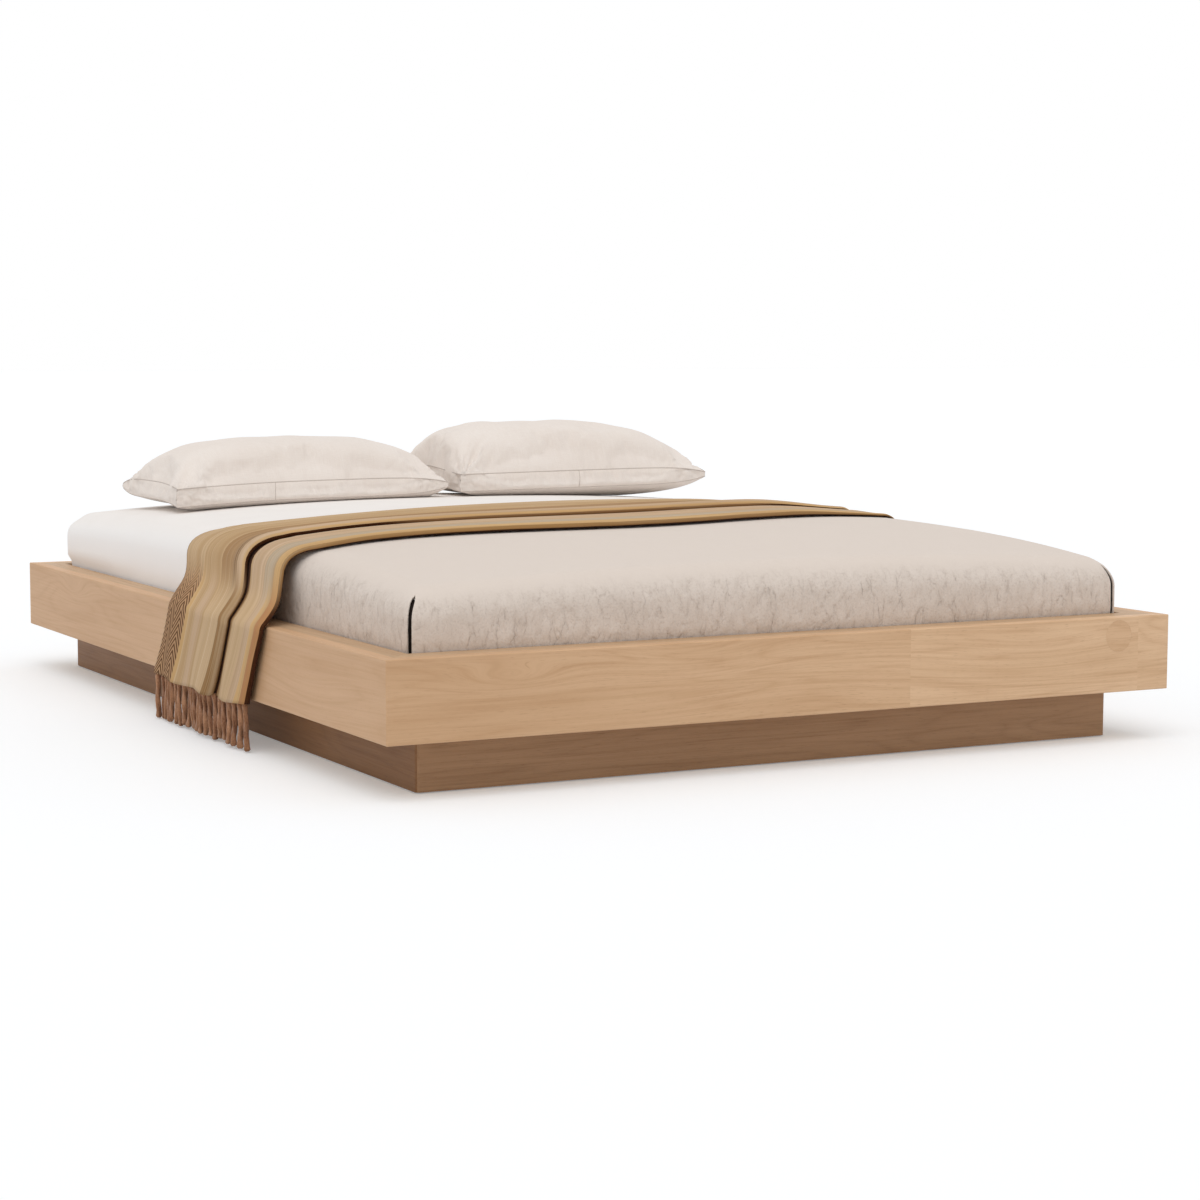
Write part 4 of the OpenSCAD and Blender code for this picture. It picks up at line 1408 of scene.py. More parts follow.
    def slit_shade(self) -> Piece:
        """Strips of dark cloth behind the slits, painted shade that makes the slits look dark.

        Returns:
            The piece.
        """
        f = self.form
        skin = Skin(f, self.below - self.overlap, self.hem, self.corner, self.shoulder_cells)
        cut = Cut()
        for sign, slit in ((-1, self.left_slit), (1, self.right_slit)):
            base, turn = (sign * f.flat_x, -f.flat_y), self.slit_shade_turn
            strip = skin.hung(*corner_run(base, slit - turn, slit + turn, 8))
            cut.net(strip[:, self.shoulder_cells // 2:])
        slit_shade = cut.piece("painted_slit_shade_strips")
        return dress(slit_shade, SLIT_SHADE_CLOTH.material("painted_slit_shade"), "coverlet_cloth", "mattress")


@dataclass
class Throw:
    """Striped wool throw, folded lengthwise and laid over the bed, with a tasselled hem at each end."""

    form: BeddingForm
    # The cloth over the bedding, and how much lower it lies where there is no coverlet
    lift: float = 0.0073
    half_thickness: float = 0.0016
    bare_drop: float = 0.0046
    # The folded width and how much it spreads on the drop, on the shoulder and on the top
    width: float = 0.430
    spread: float = 0.115
    shoulder_spread: float = 0.020
    top_spread: float = 0.030
    # The ledge's outer edge, which the cloth bends over, and the hem's height
    hem_z: float = 0.092
    outer_x: float = 0.840
    rail_top: float = 0.248
    arris: float = 0.0097
    rail_gap: float = 0.0043
    # Where it lies along the bed: its lean across, its swings and its fan towards the foot
    from_foot: float = 0.640
    foot_y: float = -1.016
    lean: float = 0.100
    swing_left: float = 0.055
    swing_right: float = 0.0
    trail: float = 0.075
    shoulder_back: float = 0.042
    fan: float = 0.140
    # How it stands off the shoulder, and the turns in degrees where it leaves shoulder and ledge
    stand_off: float = 0.018
    stands_from: float = 12.0
    stands_full: float = 78.0
    arc_turns: Pair = (2.0, 72.0)
    hang: float = 0.50
    shoulder_turns: Pair = (76.0, 84.0)
    ledge_turns: Pair = (44.0, 56.0)
    drop_cells: int = 20
    edge_cells: int = 9
    bridge_cells: int = 14
    arc_cells: int = 12
    top_cells: int = 56
    # The section's cells, drawn from a finer curve, and how much its length and its turns ask for them
    section_cells: int = 190
    fine_cells: int = 6000
    by_length: float = 130.0
    by_turn: float = 4.0
    smoothing: int = 5
    tassels: int = 23
    tassel_radius: float = 0.0060
    # The folds' centre line: shares of the width with heights in millimetres
    under: Knots = ((1.0, 1.7), (0.75, 1.7), (0.5, 1.7), (0.25, 1.7), (0.12, 1.8), (0.05, 2.2))
    near_roll: Knots = ((0.016, 3.4), (0.003, 6.4), (0.006, 10.2), (0.018, 12.6), (0.036, 12.8),
                        (0.052, 11.6))
    band: Knots = ((0.08, 10.9), (0.13, 11.2), (0.18, 12.4), (0.22, 12.9), (0.262, 11.8), (0.290, 7.4),
                   (0.308, 5.05))
    hidden: Knots = ((0.36, 5.0), (0.44, 5.0), (0.462, 5.8), (0.464, 7.4), (0.44, 8.2), (0.38, 8.2))
    wall: Knots = ((0.346, 8.3), (0.331, 9.2), (0.324, 12.8), (0.326, 17.8), (0.336, 21.6))
    panel: Knots = ((0.352, 22.2), (0.39, 20.2), (0.44, 15.8), (0.50, 12.6), (0.56, 12.9), (0.62, 13.6),
                    (0.68, 11.3), (0.74, 9.3), (0.80, 10.3), (0.86, 11.2), (0.91, 9.4), (0.955, 8.2),
                    (0.985, 5.9), (1.0, 5.3))
    # How the folds flatten to the right, swell on the left drop, and wave
    flat_on_right: float = 0.55
    puff_on_drop: float = 0.28
    wave: float = 0.0075
    wave_rates: Pair = (38.0, 17.0)
    ripple: float = 0.0011
    hem_wave: float = 0.003
    hem_wave_rate: float = 23.0

    @property
    def full_width(self) -> float:
        """Width of the folded throw on the drop."""
        return self.width + self.spread

    def section(self) -> tuple[Array, Array, dict[str, float]]:
        """The folded cloth's centre line across its width.

        Returns:
            Its points as share of the width and height in metres, the distance along the flat cloth at
            each, and the distance at which each named stretch starts.
        """
        names = ("under", "near_roll", "band", "hidden", "wall", "panel")
        parts = [getattr(self, name) for name in names]
        knots = np.array([knot for part in parts for knot in part]) * (1, MM)
        flat = knots * (self.full_width, 1)
        gaps = np.sqrt(np.linalg.norm(np.diff(flat, axis=0), axis=1))
        times = np.concatenate([[0], np.cumsum(gaps)])
        dense_t = np.linspace(0, times[-1], self.fine_cells)
        dense = np.stack([spline(times, knots[:, axis], dense_t) for axis in (0, 1)], 1)
        steps = np.diff(dense * (self.full_width, 1), axis=0)
        arc = np.concatenate([[0], np.cumsum(np.linalg.norm(steps, axis=1))])
        heading = np.unwrap(np.arctan2(*steps.T[::-1]))
        turning = np.abs(np.diff(heading, prepend=heading[0]))
        busy = np.diff(arc) * self.by_length + turning * self.by_turn
        busy = np.concatenate([[0], np.cumsum(busy)])
        counts = np.arange(len(busy))
        picks = np.interp(np.linspace(0, busy[-1], self.section_cells + 1), busy, counts)
        line = np.stack([np.interp(picks, counts, dense[:, axis]) for axis in (0, 1)], 1)
        firsts = np.cumsum([0] + [len(part) for part in parts[:-1]])
        starts = {name: float(np.interp(times[first], dense_t, arc)) for name, first in zip(names, firsts)}
        starts["end"] = float(arc[-1])
        return line, np.interp(picks, counts, arc), starts

    def ribbon(self) -> Pairs:
        """The outline of the folded cloth's section: one face of it, then back along the other.

        Returns:
            Its points as share of the width and height, and the distance along the flat cloth at each.
        """
        line, arc, _ = self.section()
        scale = np.array([self.full_width, 1])
        ahead = np.gradient(line * scale, axis=0)
        ahead /= np.linalg.norm(ahead, axis=1)[:, None]
        side = np.stack([-ahead[:, 1], ahead[:, 0]], 1) * self.half_thickness
        faces = [(line * scale + side) / scale, ((line * scale - side) / scale)[::-1]]
        return np.concatenate(faces), np.concatenate([arc, arc[::-1]])

    def stations(self) -> list[tuple[str, float]]:
        """The stations from the left hem to the middle of the top.

        Returns:
            The stretch that each is on and its share of it.
        """
        stretches = (("drop", self.drop_cells), ("edge", self.edge_cells), ("bridge", self.bridge_cells),
                     ("arc", self.arc_cells), ("top", self.top_cells // 2))
        found = [(name, i / cells) for name, cells in stretches for i in range(cells)]
        return found + [("top", 1.0)]

    def shoulder_point(self, turn: Array | float, y: Array) -> Pairs:
        """Place on the shoulder at a turn in degrees.

        Args:
            turn: The turn from the top.
            y: Places along the bed.

        Returns:
            Distance from the bed's middle and height.
        """
        f, angle = self.form, np.radians(turn)
        stands = smooth(self.stands_from, self.stands_full, turn)
        radius = f.shoulder + self.lift + self.stand_off * stands
        x = f.flat_x + radius * np.sin(angle)
        return x, f.lifted(x, y, f.height - f.shoulder + radius * np.cos(angle))

    def edge_point(self, turn: Array) -> Pairs:
        """Place on the ledge's outer edge at a turn in degrees."""
        radius, angle = self.rail_gap + self.arris, np.radians(turn)
        return (self.outer_x - self.arris + radius * np.sin(angle),
                self.rail_top - self.arris + radius * np.cos(angle))

    def shares(self, stretch: str, t: float) -> Triple:
        """Shares of the swing, of the drop and of the shoulder at a station.

        Args:
            stretch: The station's stretch.
            t: Its share of the stretch.

        Returns:
            The three shares.
        """
        if stretch == "top":
            return math.cos(math.pi / 2 * t) ** 5, 0.0, 0.0
        leaving = sum(self.shoulder_turns) / 2
        on_arc = float(smooth(*self.arc_turns, leaving * (1 - t)))
        shoulder = {"bridge": t, "arc": on_arc}.get(stretch, 0.0)
        return 1.0, 1 - t if stretch == "drop" else 0.0, shoulder

    def path(self, stretch: str, t: float, y: Array, w: Array) -> Pairs:
        """Place of the throw's underside at a station.

        Args:
            stretch: The station's stretch.
            t: Its share of the stretch.
            y: Places along the bed.
            w: Shares of the throw's width.

        Returns:
            Distance from the bed's middle and height.
        """
        f = self.form
        leaving, ledge = (first + (last - first) * w
                          for first, last in (self.shoulder_turns, self.ledge_turns))
        if stretch == "drop":
            height = self.hem_z + (self.rail_top - self.arris - self.hem_z) * t
            return np.full(y.shape, self.outer_x + self.rail_gap), np.full(y.shape, height)
        if stretch == "edge":
            return self.edge_point(90 + (ledge - 90) * t)
        if stretch == "bridge":
            low, high = np.stack(self.edge_point(ledge)), np.stack(self.shoulder_point(leaving, y))
            pull = self.hang * np.linalg.norm(high - low, axis=0)
            inwards = high - np.stack(self.shoulder_point(leaving - 1, y))
            turn = np.radians(ledge)
            after_low = low + pull * np.stack([-np.cos(turn), np.sin(turn)])
            before_high = high + pull * inwards / np.linalg.norm(inwards, axis=0)
            return tuple((1 - t) ** 3 * low + 3 * t * (1 - t) ** 2 * after_low
                         + 3 * t * t * (1 - t) * before_high + t ** 3 * high)
        if stretch == "arc":
            return self.shoulder_point(leaving * (1 - t), y)
        x = np.full(y.shape, f.flat_x * math.cos(math.pi / 2 * t))
        return x, f.lifted(x, y, f.height + self.lift)

    def net(self) -> Pairs:
        """The throw's points by station, and the flat cloth's coordinates at each.

        Returns:
            The points and the flat coordinates.
        """
        outline, across = self.ribbon()
        w = np.clip(outline[:, 0], -0.01, 1.01)
        half = self.stations()
        walk = [(-1, s) for s in half] + [(1, s) for s in half[-2::-1]]
        base, shares = [], []
        for side, (stretch, t) in walk:
            swing, drop, shoulder = self.shares(stretch, t)
            turned = side * (math.cos(math.pi / 2 * t) if stretch == "top" else 1)
            near = (self.foot_y + self.from_foot + self.lean * turned
                    - (self.swing_left if side < 0 else self.swing_right) * swing
                    + self.trail * drop + self.shoulder_back * shoulder)
            width = self.width + self.spread * swing + self.shoulder_spread * shoulder
            if stretch == "top":
                reach = self.form.flat_x * math.cos(math.pi / 2 * t)
                fan = self.fan * float(smooth(0.68, 0.0, reach))
                near -= fan
                width += fan + self.top_spread * float(smooth(0.716, 0.50, reach))
            y = near + width * w
            x, z = self.path(stretch, t, y, w)
            base.append(np.stack([side * x, y, z], 1))
            on_top = {"drop": 0.0, "edge": 0.0, "bridge": t, "arc": 1.0, "top": 1.0}[stretch]
            shares.append((on_top, drop))
        base = np.array(base)
        x, y = base[..., 0], base[..., 1]
        # Directions along the path, smoothed so that no crease shows where its stretches meet
        ahead = np.gradient(base[..., [0, 2]], axis=0)
        for _ in range(self.smoothing):
            ahead[1:-1] = (ahead[:-2] + 2 * ahead[1:-1] + ahead[2:]) / 4
        ahead /= np.linalg.norm(ahead, axis=-1)[..., None]
        on_top, drop = (np.array(s)[:, None] for s in zip(*shares))
        puff = 1 - self.flat_on_right * smooth(0.40, 0.72, x)
        height = outline[:, 1] * (puff + self.puff_on_drop * drop * (x < 0))
        lower = self.bare_drop * on_top * smooth(-0.085, -0.03, y)
        fast, slow = self.wave_rates
        waves = 0.5 - 0.5 * np.cos(y * fast + 1.2 * np.sign(x) + 0.7 * np.sin(y * slow))
        calm = np.stack([y, np.cumsum(np.ones(y.shape), 0) * 0.01, np.zeros(y.shape)], -1)
        ripple = humps(calm.reshape(-1, 3), (0.06, 0.09, 1), 4.0).reshape(y.shape)
        ripple *= smooth(0.004, 0.012, height)
        offset = height - lower + self.wave * waves * drop ** 1.5 + self.ripple * ripple
        points = base.copy()
        points[..., 0] -= ahead[..., 1] * offset
        points[..., 2] += ahead[..., 0] * offset + drop * self.hem_wave * np.sin(y * self.hem_wave_rate)
        # Flat coordinates: the length along the path from its middle, and the distance across
        middle = base[:, base.shape[1] // 4]
        run = np.concatenate([[0], np.cumsum(np.linalg.norm(np.diff(middle[:, [0, 2]], axis=0), axis=1))])
        flat = np.stack(np.broadcast_arrays((run - run[-1] / 2)[:, None], across), -1)
        return points, flat

    def fringe(self, side: int, points: Array) -> Piece:
        """A row of twisted tassels under one hem.

        Args:
            side: -1 for the left hem, 1 for the right.
            points: The throw's points by station.

        Returns:
            The piece.
        """
        rng = np.random.default_rng(17 + side)
        end = "left" if side < 0 else "right"
        hem = points[0] if side < 0 else points[-1]
        face = hem[:len(hem) // 2]
        low, high = hem[:, 1].min() + self.tassel_radius, hem[:, 1].max() - self.tassel_radius
        root = self.hem_z + 0.004
        cut = Cut()
        for number in range(self.tassels):
            y = low + (high - low) * (number + 0.5) / self.tassels + rng.uniform(-0.0015, 0.0015)
            near = np.abs(face[:, 1] - y) < 2 * self.tassel_radius
            reach = np.abs(face[near, 0]) if near.any() else np.abs(face[[np.argmin(face[:, 1])], 0])
            x = side * (reach.min() + 0.004 + 0.2 * np.ptp(reach) + rng.uniform(-0.001, 0.001))
            cut.add(*self.tassel(np.array([x, y, root]), root - rng.uniform(0.002, 0.010), rng))
        yarn = YarnFinish().material("plied_yarn_" + end)
        return dress(cut.piece("fringe_tassels_" + end), yarn, "fringe_yarn", "throw", "fringe_" + end)

    def tassel(self, root: Array, length: float, rng: np.random.Generator) -> tuple[Array, Faces]:
        """One tassel: a knot, then three plies twisted together that open at the end.

        Args:
            root: Where it leaves the hem.
            length: How long it is.
            rng: Source of its small differences.

        Returns:
            Its points and faces.
        """
        rings, sides = 28, 15
        t = np.linspace(0, 1, rings)
        knot = np.exp(-((t - 0.09) / 0.05) ** 2)
        profile = 0.78 + 0.30 * knot + 0.16 * t + 0.14 * smooth(0.85, 1, t)
        profile[[0, -1]] = 0.6
        radius = self.tassel_radius * rng.uniform(0.82, 1.10) * profile
        sway = rng.uniform(-1, 1, 2) * 0.006
        bend = rng.uniform(-1, 1, 2) * 0.003
        centre = np.stack([sway[0] * 0.5 * t ** 2 + bend[0] * np.sin(t * math.pi),
                           sway[1] * t ** 2 + bend[1] * np.sin(t * math.pi * 1.5), -length * t], 1)
        turns = np.arange(sides) / sides * math.tau
        twist = t * rng.uniform(3, 5) + rng.uniform(0, 6)
        lobes = 1 + 0.22 * np.cos(3 * (turns[None] - twist[:, None])) * smooth(0.12, 0.2, t)[:, None]
        ring = radius[:, None] * lobes
        points = np.stack([ring * np.cos(turns), ring * np.sin(turns), np.zeros(ring.shape)], -1)
        points += (centre + root)[:, None]
        return points.reshape(-1, 3), net_faces(rings, sides, ringed=True) + end_faces(rings, sides)

    def stripes(self) -> tuple[Stripes, Stripes]:
        """The colours across the flat cloth, from the under layer's edge to the panel's; the deep ones are
        painted shade.

        Returns:
            The stripes near the hems, of which the last is the herringbone strip, and those on the bed.
        """
        wool = WoolFinish()
        line, arc, starts = self.section()
        names = list(starts)

        def run(stretch: str, *stripes: tuple[float, Colour]) -> Stripes:
            """Stripes of a stretch, each from where the cloth crosses a share of the width."""
            inside = (arc >= starts[stretch]) & (arc <= starts[names[names.index(stretch) + 1]])
            return [(float(arc[inside][np.argmin(np.abs(line[inside, 0] - share))]), colour)
                    for share, colour in stripes]

        roll, wall = starts["near_roll"], starts["wall"]
        # The deep stripes are painted shade, under the near edge and in the valley at the band's end
        drop = [(0.0, wool.sand), (roll - 0.02, wool.deep), (roll + 0.0115, wool.rust)]
        drop += run("near_roll", (0.050, wool.golden))
        drop += run("band", (0.085, wool.rose), (0.150, wool.beige), (0.266, wool.olive), (0.306, wool.deep))
        drop += [(wall + 0.001, wool.olive)]
        drop += run("panel", (0.353, wool.golden), (0.362, wool.beige), (0.45, wool.pale),
                    (0.47, wool.beige), (0.56, wool.sand), (0.575, wool.rose), (0.66, wool.sand),
                    (0.735, wool.golden), (0.768, wool.herringbone))
        # On the bed too, the deep stripes are painted shade under the near edge and in the valley
        top = [(0.0, wool.sand), (roll - 0.02, wool.deep), (roll + 0.0035, wool.olive),
               (roll + 0.0085, wool.golden)]
        top += run("near_roll", (0.050, wool.ash))
        top += run("band", (0.130, wool.rose), (0.255, wool.golden), (0.286, wool.deep))
        top += [(wall + 0.0142, wool.golden)] + run("wall", (0.326, wool.rose))
        # The panel's stretch on the bed starts with painted shade behind its ridge
        top += run("panel", (0.353, wool.crease_shade), (0.41, wool.brown), (0.56, wool.sand), (0.76, wool.beige),
                   (0.985, wool.brown))
        return drop, top

    def build(self) -> Piece:
        """Builds the throw and its fringes.

        Returns:
            The throw.
        """
        points, flat = self.net()
        stations, around = points.shape[:2]
        faces = net_faces(stations, around, ringed=True) + end_faces(stations, around)
        throw = piece_of("folded_throw", points.reshape(-1, 3), faces, flat.reshape(-1, 2))
        width = self.section()[2]["end"]
        drop, top = self.stripes()
        ledge_at = float(flat[-1, 0, 0]) - (self.rail_top - self.hem_z)
        wool = WoolFinish().material("striped_wool_weave", drop, top, width, drop[-1][0], ledge_at)
        dress(throw, wool, "striped_wool", "throw", "throw")
        rows = [self.fringe(side, points) for side in (-1, 1)]
        return throw


def spline(times: Array, values: Array, at: Array) -> Array:
    """A smooth curve through values, with no overshoot at flat stretches.

    Args:
        times: Where the values stand.
        values: The values.
        at: Where to read the curve.

    Returns:
        The curve's values.
    """
    steps = np.diff(times)
    slopes = np.diff(values) / steps
    tangent = np.empty(len(values))
    tangent[1:-1] = (slopes[:-1] * steps[1:] + slopes[1:] * steps[:-1]) / (steps[:-1] + steps[1:])
    tangent[0], tangent[-1] = slopes[0], slopes[-1]
    i = np.clip(np.searchsorted(times, at, side="right") - 1, 0, len(steps) - 1)
    h = steps[i]
    t = (at - times[i]) / h
    return ((2 * t ** 3 - 3 * t ** 2 + 1) * values[i] + (t ** 3 - 2 * t ** 2 + t) * h * tangent[i]
            + (3 * t ** 2 - 2 * t ** 3) * values[i + 1] + (t ** 3 - t ** 2) * h * tangent[i + 1])


@dataclass
class Pillow:
    """A box-edged pillow in linen: a plump top, a puckered band between piped seams, a soft underside."""

    form: BeddingForm
    name: str
    middle_x: float
    seam: float
    rise: float
    left_power: float
    right_power: float
    droop: float
    gathers: float
    joint_at: float
    seed: float
    left_lift: float = 0.0
    # The filling's simulation
    pressure: float = 2.2
    spare_cloth: float = 0.036
    stiffness: float = 0.5
    frames: int = 12
    most_moved: float = 0.015
    # The shape before it is filled
    width: float = 0.670
    length: float = 0.400
    edge: float = 0.041
    sag: float = 0.034
    sag_power: int = 3
    front_power: float = 2.6
    plumpness: float = 0.8
    # How sharp the corners' tips are, and how far the upper and the lower seam close up there
    point_power: int = 6
    upper_closes: float = 0.35
    lower_closes: float = 0.4
    waist: float = 0.013
    tilt: float = 0.0035
    bulge: float = 0.006
    middle_y: float = 0.740
    sheet_top: float = 0.1996
    gap: float = 0.0014
    piping: float = 0.0012
    # How deep the sewn cloth puckers and the top folds
    top_pucker: float = 0.0075
    band_pucker: float = 0.0050
    soft_folds: float = 0.0055
    # Noise cells of the puckers along the front and the end seams and of the folds
    front_cell: Triple = (0.011, 0.09, 0.09)
    end_cell: Triple = (0.09, 0.012, 0.09)
    fold_cell: Triple = (0.085, 0.12, 0.12)
    pucker_reach: float = 0.030
    # The gathers' rays out of the front left corner: how many a radian, steps a metre, and their reach
    ray_count: float = 7.5
    ray_steps: int = 9
    ray_reach: float = 0.07
    piping_sides: int = 7
    piping_lift: float = 0.0004
    piping_clear: float = 0.0006
    # Radii of the lower and the upright piping, as shares of the upper one's
    lower_piping: float = 0.7
    joint_piping: float = 0.6
    # The net's cells, and how far they crowd towards the seams
    cells_x: int = 130
    cells_y: int = 82
    band_cells: int = 10
    crowding: float = 0.45

    def plan(self, u: Array, v: Array, out: Array | float) -> Pairs:
        """Plan of the pillow at u, v from -1 to 1, whose sides draw in between the corners.

        Args:
            u: Share across.
            v: Share along.
            out: Distance outwards from the seam.

        Returns:
            X and Y.
        """
        x = self.middle_x + u * (self.width / 2 + out - self.waist * u * u * (1 - v * v))
        y = self.middle_y + v * (self.length / 2 + out - self.waist * v * v * (1 - u * u))
        return x, y

    def placed(self, x: Array, y: Array) -> Pairs:
        """Shares across and along of places on the bed."""
        return (x - self.middle_x) / (self.width / 2), (y - self.middle_y) / (self.length / 2)

    def near_point(self, u: Array, v: Array) -> Array:
        """How near each place is to the tip of a corner, of which the front left one is left square."""
        return np.where((u < 0) & (v < 0), 0, np.abs(u * v) ** self.point_power)

    def rest(self, x: Array, y: Array) -> Array:
        """The sheet's height under the pillow."""
        return self.form.lifted(x, y, self.sheet_top)

    def seams(self, u: Array, v: Array) -> tuple[Array, Array, Array]:
        """Heights of the seams' plane, and of the upper and the lower seam above it.

        Args:
            u: Share across.
            v: Share along.

        Returns:
            The three heights, the first above the floor.
        """
        near_square = (np.maximum(0, -u) * np.maximum(0, -v)) ** 2
        near_point = self.near_point(u, v)
        left_back = np.maximum(0, -u) ** 2 * smooth(-1.0, 0.2, v)
        plane = (float(self.rest(0.0, 0.0)) + self.seam + self.tilt * u - self.droop * near_square
                 + self.left_lift * left_back)
        upper = self.edge * (1 - self.upper_closes * near_point)
        return plane, upper, self.edge * self.lower_closes * near_point

    def spaced(self, cells: int) -> Array:
        """Shares from -1 to 1 that lie closer together towards the ends."""
        even = np.linspace(-1, 1, cells + 1)
        return (1 - self.crowding) * even + self.crowding * np.sin(even * math.pi / 2)

    def rim(self) -> Pairs:
        """The places round the seam, closed.

        Returns:
            Shares across and along at each.
        """
        us, vs = self.spaced(self.cells_x), self.spaced(self.cells_y)
        u = np.concatenate([us, np.ones(len(vs) - 1), us[-2::-1], -np.ones(len(vs) - 1)])
        v = np.concatenate([-np.ones(len(us)), vs[1:], np.ones(len(us) - 1), vs[-2::-1]])
        return u, v

    def band(self) -> Array:
        """The band between the seams.

        Returns:
            Its points by column and row.
        """
        u, v = self.rim()
        plane, upper, lower = self.seams(u, v)
        rows = []
        for t in np.linspace(0, 1, self.band_cells + 1):
            out = self.bulge * math.sin(math.pi * t) ** 0.8 * (1 - self.near_point(u, v))
            rows.append(np.stack([*self.plan(u, v, out), plane + upper + (lower - upper) * t], 1))
        return np.stack(rows, 1)

    def build(self) -> Piece:
        """Builds the pillow and its piping.

        Returns:
            The pillow.
        """
        u, v = np.meshgrid(self.spaced(self.cells_x), self.spaced(self.cells_y), indexing="ij")
        plane, upper, lower = self.seams(u, v)
        x, y = self.plan(u, v, 0.0)
        power = np.where(u < 0, self.left_power, self.right_power)
        full = np.maximum(0, 1 - np.abs(u) ** power) * np.maximum(0, 1 - np.abs(v) ** self.front_power)
        plump = full ** self.plumpness
        low = plane + lower - self.sag * (1 - np.maximum(np.abs(u), np.abs(v)) ** self.sag_power)
        band = self.band()
        cut = Cut()
        cut.net(np.stack([x, y, plane + upper + self.rise * plump], -1))
        cut.net(band)
        cut.net(np.stack([x, y, np.maximum(low, self.rest(x, y) + self.gap)], -1))
        pillow = cut.piece(self.name + "_linen", WELD)
        self.fill(pillow)
        self.pucker(pillow)
        self.trim(band)
        dress(pillow, LINEN.material(self.name + "_linen_weave"), "pillow_linen", self.name, self.name)
        return pillow

    def held(self, places: Array, normals: Array) -> Array:
        """Which points the filling leaves in place: those on the seams and the underside.

        Args:
            places: The pillow's points.
            normals: Their normals.

        Returns:
            True where a point is held.
        """
        u, v = (np.clip(share, -1, 1) for share in self.placed(*places.T[:2]))
        plane, upper, lower = self.seams(u, v)
        above = places[:, 2] - plane
        to_seam = np.minimum(np.abs(above - upper), np.abs(above - lower))
        on_rim = np.maximum(np.abs(u), np.abs(v)) > 0.985
        return (on_rim & (to_seam < 0.0015)) | (normals[:, 2] < -0.3)

    def fill(self, pillow: Piece) -> None:
        """Fills the pillow by a short cloth simulation: roomy cloth, air inside, seams and underside held.

        Args:
            pillow: The pillow.
        """
        places, normals = read_points(pillow)
        group = pillow.vertex_groups.new(name="held")
        group.add(np.nonzero(self.held(places, normals))[0].tolist(), 1.0, "REPLACE")
        cloth = pillow.modifiers.new("filling", "CLOTH")
        settings = cloth.settings
        settings.quality = 4
        settings.mass = 0.2
        settings.tension_stiffness = 15
        settings.compression_stiffness = 15
        settings.shear_stiffness = 6
        settings.bending_stiffness = self.stiffness
        settings.use_pressure = True
        settings.uniform_pressure_force = self.pressure
        settings.shrink_min = -self.spare_cloth
        settings.vertex_group_mass = group.name
        settings.effector_weights.gravity = 0
        cloth.collision_settings.use_collision = False
        cloth.point_cache.frame_end = self.frames
        for step in range(1, self.frames + 1):
            bpy.context.scene.frame_set(step)
        done = pillow.evaluated_get(bpy.context.evaluated_depsgraph_get())
        moves = read_points(done)[0] - places
        reach = np.linalg.norm(moves, axis=1, keepdims=True)
        moves *= np.minimum(1, self.most_moved / np.maximum(reach, 1e-9))
        log.info("%s: filled, cloth moved %.1f mm at most", self.name, 1000 * float(reach.max()))
        # The settled shape is kept as plain points, so nothing of the simulation stays
        pillow.modifiers.remove(cloth)
        pillow.vertex_groups.remove(group)
        bpy.context.scene.frame_set(1)
        write_points(pillow, places + moves)

    def pucker(self, pillow: Piece) -> None:
        """Puckers the cloth where it is sewn, and lays soft folds over the top.

        Args:
            pillow: The pillow.
        """
        places, normals = read_points(pillow)
        x, y, z = places.T
        u, v = self.placed(x, y)
        plane, upper, lower = self.seams(np.clip(u, -1, 1), np.clip(v, -1, 1))
        to_end = (1 - np.abs(u)) * self.width / 2
        to_front = (1 - np.abs(v)) * self.length / 2
        to_seam = np.minimum(np.abs(to_end), np.abs(to_front))
        on_top = smooth(0.15, 0.5, normals[:, 2])
        on_band = smooth(0.5, 0.2, np.abs(normals[:, 2]))
        across_front = wobble(places, self.front_cell, self.seed)
        across_end = wobble(places, self.end_cell, self.seed + 3)
        by_front = smooth(0.02, -0.02, to_front - to_end)
        sewn = across_front * by_front + across_end * (1 - by_front)
        soft = wobble(places, self.fold_cell, self.seed + 5)
        level = np.clip((z - plane - lower) / (upper - lower + 1e-6), 0, 1)
        aside, behind = x - (self.middle_x - self.width / 2), y - (self.middle_y - self.length / 2)
        away = np.hypot(aside, behind)
        ray = np.stack([np.arctan2(behind, aside) * self.ray_count, away * self.ray_steps,
                        np.full(len(x), self.seed)], 1)
        rays = wobble(ray, 1.0, self.seed) * np.exp(-away / self.ray_reach) * smooth(0.0, 0.012, away)
        by_seam = np.exp(-to_seam / self.pucker_reach) * smooth(0.001, 0.014, to_seam)
        push(pillow, on_top * self.top_pucker * sewn * by_seam
             + on_top * self.soft_folds * soft * smooth(0.0, 0.09, to_seam)
             + on_band * self.band_pucker * sewn * np.sin(math.pi * level)
             + self.gathers * rays * np.maximum(on_top, 0.5 * on_band))
        # The folds never reach down through the sheet
        puckered = read_points(pillow)[0]
        puckered[:, 2] = np.maximum(puckered[:, 2], self.rest(x, y) + self.gap)
        write_points(pillow, puckered)

    def trim(self, band: Array) -> None:
        """Pipes both seams and the band's upright seam.

        Args:
            band: The band's points by column and row.
        """
        cut = Cut()
        for row, lift, share in ((0, self.piping_lift, 1.0), (-1, 0.0, self.lower_piping)):
            loop = band[:-1, row] + (0, 0, lift)
            least = self.rest(loop[:, 0], loop[:, 1]) + self.piping + self.piping_clear
            loop[:, 2] = np.maximum(loop[:, 2], least)
            cut.add(*tube(loop, self.piping * share, self.piping_sides, closed=True))
        u, v = self.rim()
        column = int(np.argmin(np.abs(u - self.joint_at) + 10 * (v > -0.999)))
        cut.add(*tube(band[column], self.piping * self.joint_piping, self.piping_sides - 1))
        piping = PIPING.material(self.name + "_piping_cloth")
        dress(cut.piece(self.name + "_piping"), piping, "pillow_linen", self.name)


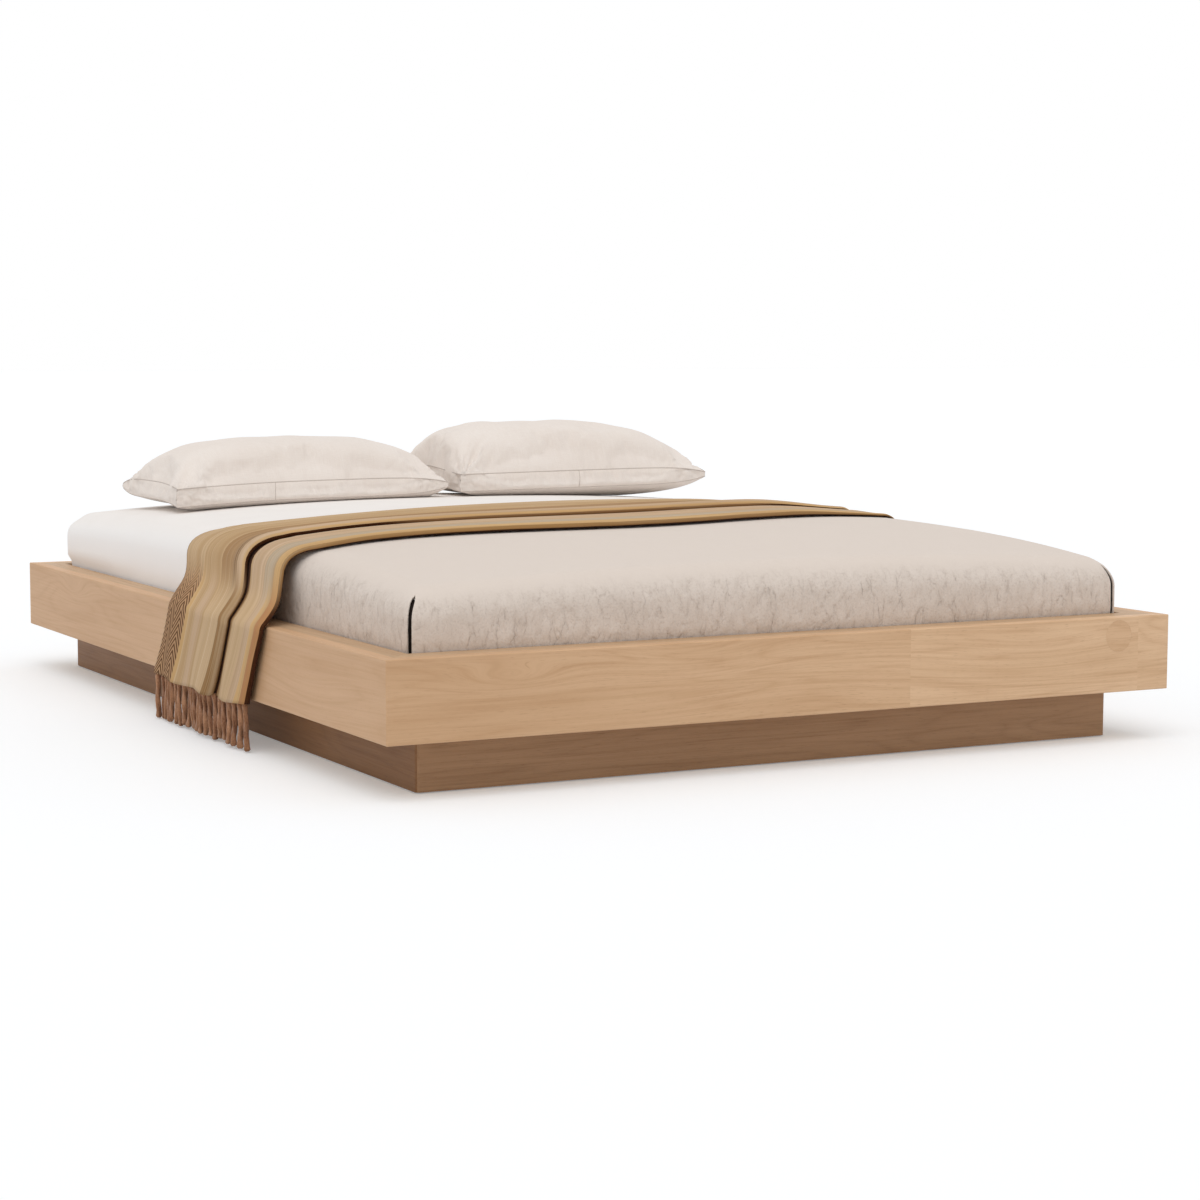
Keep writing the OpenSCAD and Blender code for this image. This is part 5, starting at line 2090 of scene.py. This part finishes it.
@dataclass
class Studio:
    """Camera, soft light and a plain pale floor."""

    place: Triple = (-2.568, -5.150, 0.783)
    yaw: float = 27.76
    pitch: float = 5.62
    roll: float = 0.14
    # The lens's focal length and the picture's width, both in pixels
    focal: float = 2628.4
    picture: float = 1200.0
    sky: float = 0.69
    lamp: float = 0.85
    lamp_angle: float = 50.0
    lamp_way: Triple = (-0.22, -0.32, 1.0)
    sensor: float = 36.0
    span: float = 60.0
    floor_tone: Colour = (0.838, 0.852, 0.868)
    floor_glow: float = 0.205

    def camera(self) -> None:
        """Sets the camera where the photograph was taken from."""
        yaw, pitch, roll = (math.radians(a) for a in (self.yaw, self.pitch, self.roll))
        ahead = Vector((math.sin(yaw) * math.cos(pitch), math.cos(yaw) * math.cos(pitch), -math.sin(pitch)))
        right = Vector((math.cos(yaw), -math.sin(yaw), 0))
        right = right * math.cos(roll) + right.cross(ahead) * math.sin(roll)
        data = bpy.data.cameras.new("camera")
        data.sensor_width = self.sensor
        data.lens = self.focal / self.picture * self.sensor
        data.clip_end = 300
        camera = bpy.data.objects.new("camera", data)
        turn = Matrix((right, right.cross(ahead), -ahead)).transposed().to_4x4()
        camera.matrix_world = Matrix.Translation(self.place) @ turn
        bpy.context.scene.collection.objects.link(camera)
        bpy.context.scene.camera = camera

    def light(self) -> None:
        """Lights the scene from a grey sky and one very wide lamp, against white."""
        world = bpy.data.worlds.new("studio")
        bpy.context.scene.world = world
        world.use_nodes = True
        sky = Nodes(world.node_tree)
        rays = sky.add("LightPath").outputs
        seen = sky.maths("MAXIMUM", rays["Is Camera Ray"], rays["Is Glossy Ray"])
        seen = sky.maths("MAXIMUM", seen, rays["Is Transmission Ray"])
        ground = world.node_tree.nodes["Background"]
        sky.feed(ground.inputs["Color"], (1.0, 1.0, 1.0))
        sky.feed(ground.inputs["Strength"], sky.scaled(seen, 1 - self.sky, self.sky))
        sun = bpy.data.lights.new("soft lamp", "SUN")
        sun.energy = self.lamp
        sun.angle = math.radians(self.lamp_angle)
        lamp = bpy.data.objects.new("soft lamp", sun)
        lamp.rotation_euler = Vector(self.lamp_way).to_track_quat("Z", "Y").to_euler()
        bpy.context.scene.collection.objects.link(lamp)
        bpy.context.scene.view_settings.view_transform = "Standard"

    def floor(self) -> None:
        """Lays the floor, which keeps the bed's shadow and is white where none falls."""
        corners = [(x * self.span, y * self.span, 0) for x, y in ((-1, -1), (1, -1), (1, 1), (-1, 1))]
        floor = piece_of("floor", np.array(corners), [(0, 1, 2, 3)])
        r = Recipe("pale_floor")
        rays = r.add("LightPath").outputs
        seen = r.maths("MAXIMUM", rays["Is Camera Ray"], rays["Is Glossy Ray"])
        r.own(Base_Color=self.floor_tone, Roughness=0.9, Specular_IOR_Level=0.1,
              Emission_Color=(1.0, 1.0, 1.0), Emission_Strength=r.times(seen, self.floor_glow))
        floor.data.materials.append(r.material)

    def build(self) -> None:
        """Builds the whole studio."""
        self.camera()
        self.light()
        self.floor()


def main() -> None:
    """Builds the whole scene in order."""
    logging.basicConfig(level=logging.INFO, format="%(name)s: %(message)s")
    Studio().build()
    Timber().build()
    form = BeddingForm(half_width=0.762, half_length=1.016, base=0.1486)
    Mattress(form).build()
    FittedSheet(form).build()
    Coverlet(form).build()
    Throw(form).build()
    half_pitch = 0.3495
    Pillow(form, "pillow_left", middle_x=0.033 - half_pitch, seam=0.002, rise=0.082, left_power=3.8,
           right_power=3.4, droop=0.009, gathers=0.0090, joint_at=-0.29, seed=3.7).build()
    Pillow(form, "pillow_right", middle_x=0.038 + half_pitch, seam=0.012, rise=0.101, left_power=6.5,
           right_power=2.4, droop=0.0, gathers=0.0190, joint_at=-0.04, seed=9.2, left_lift=0.012).build()


if __name__ == "__main__":
    main()
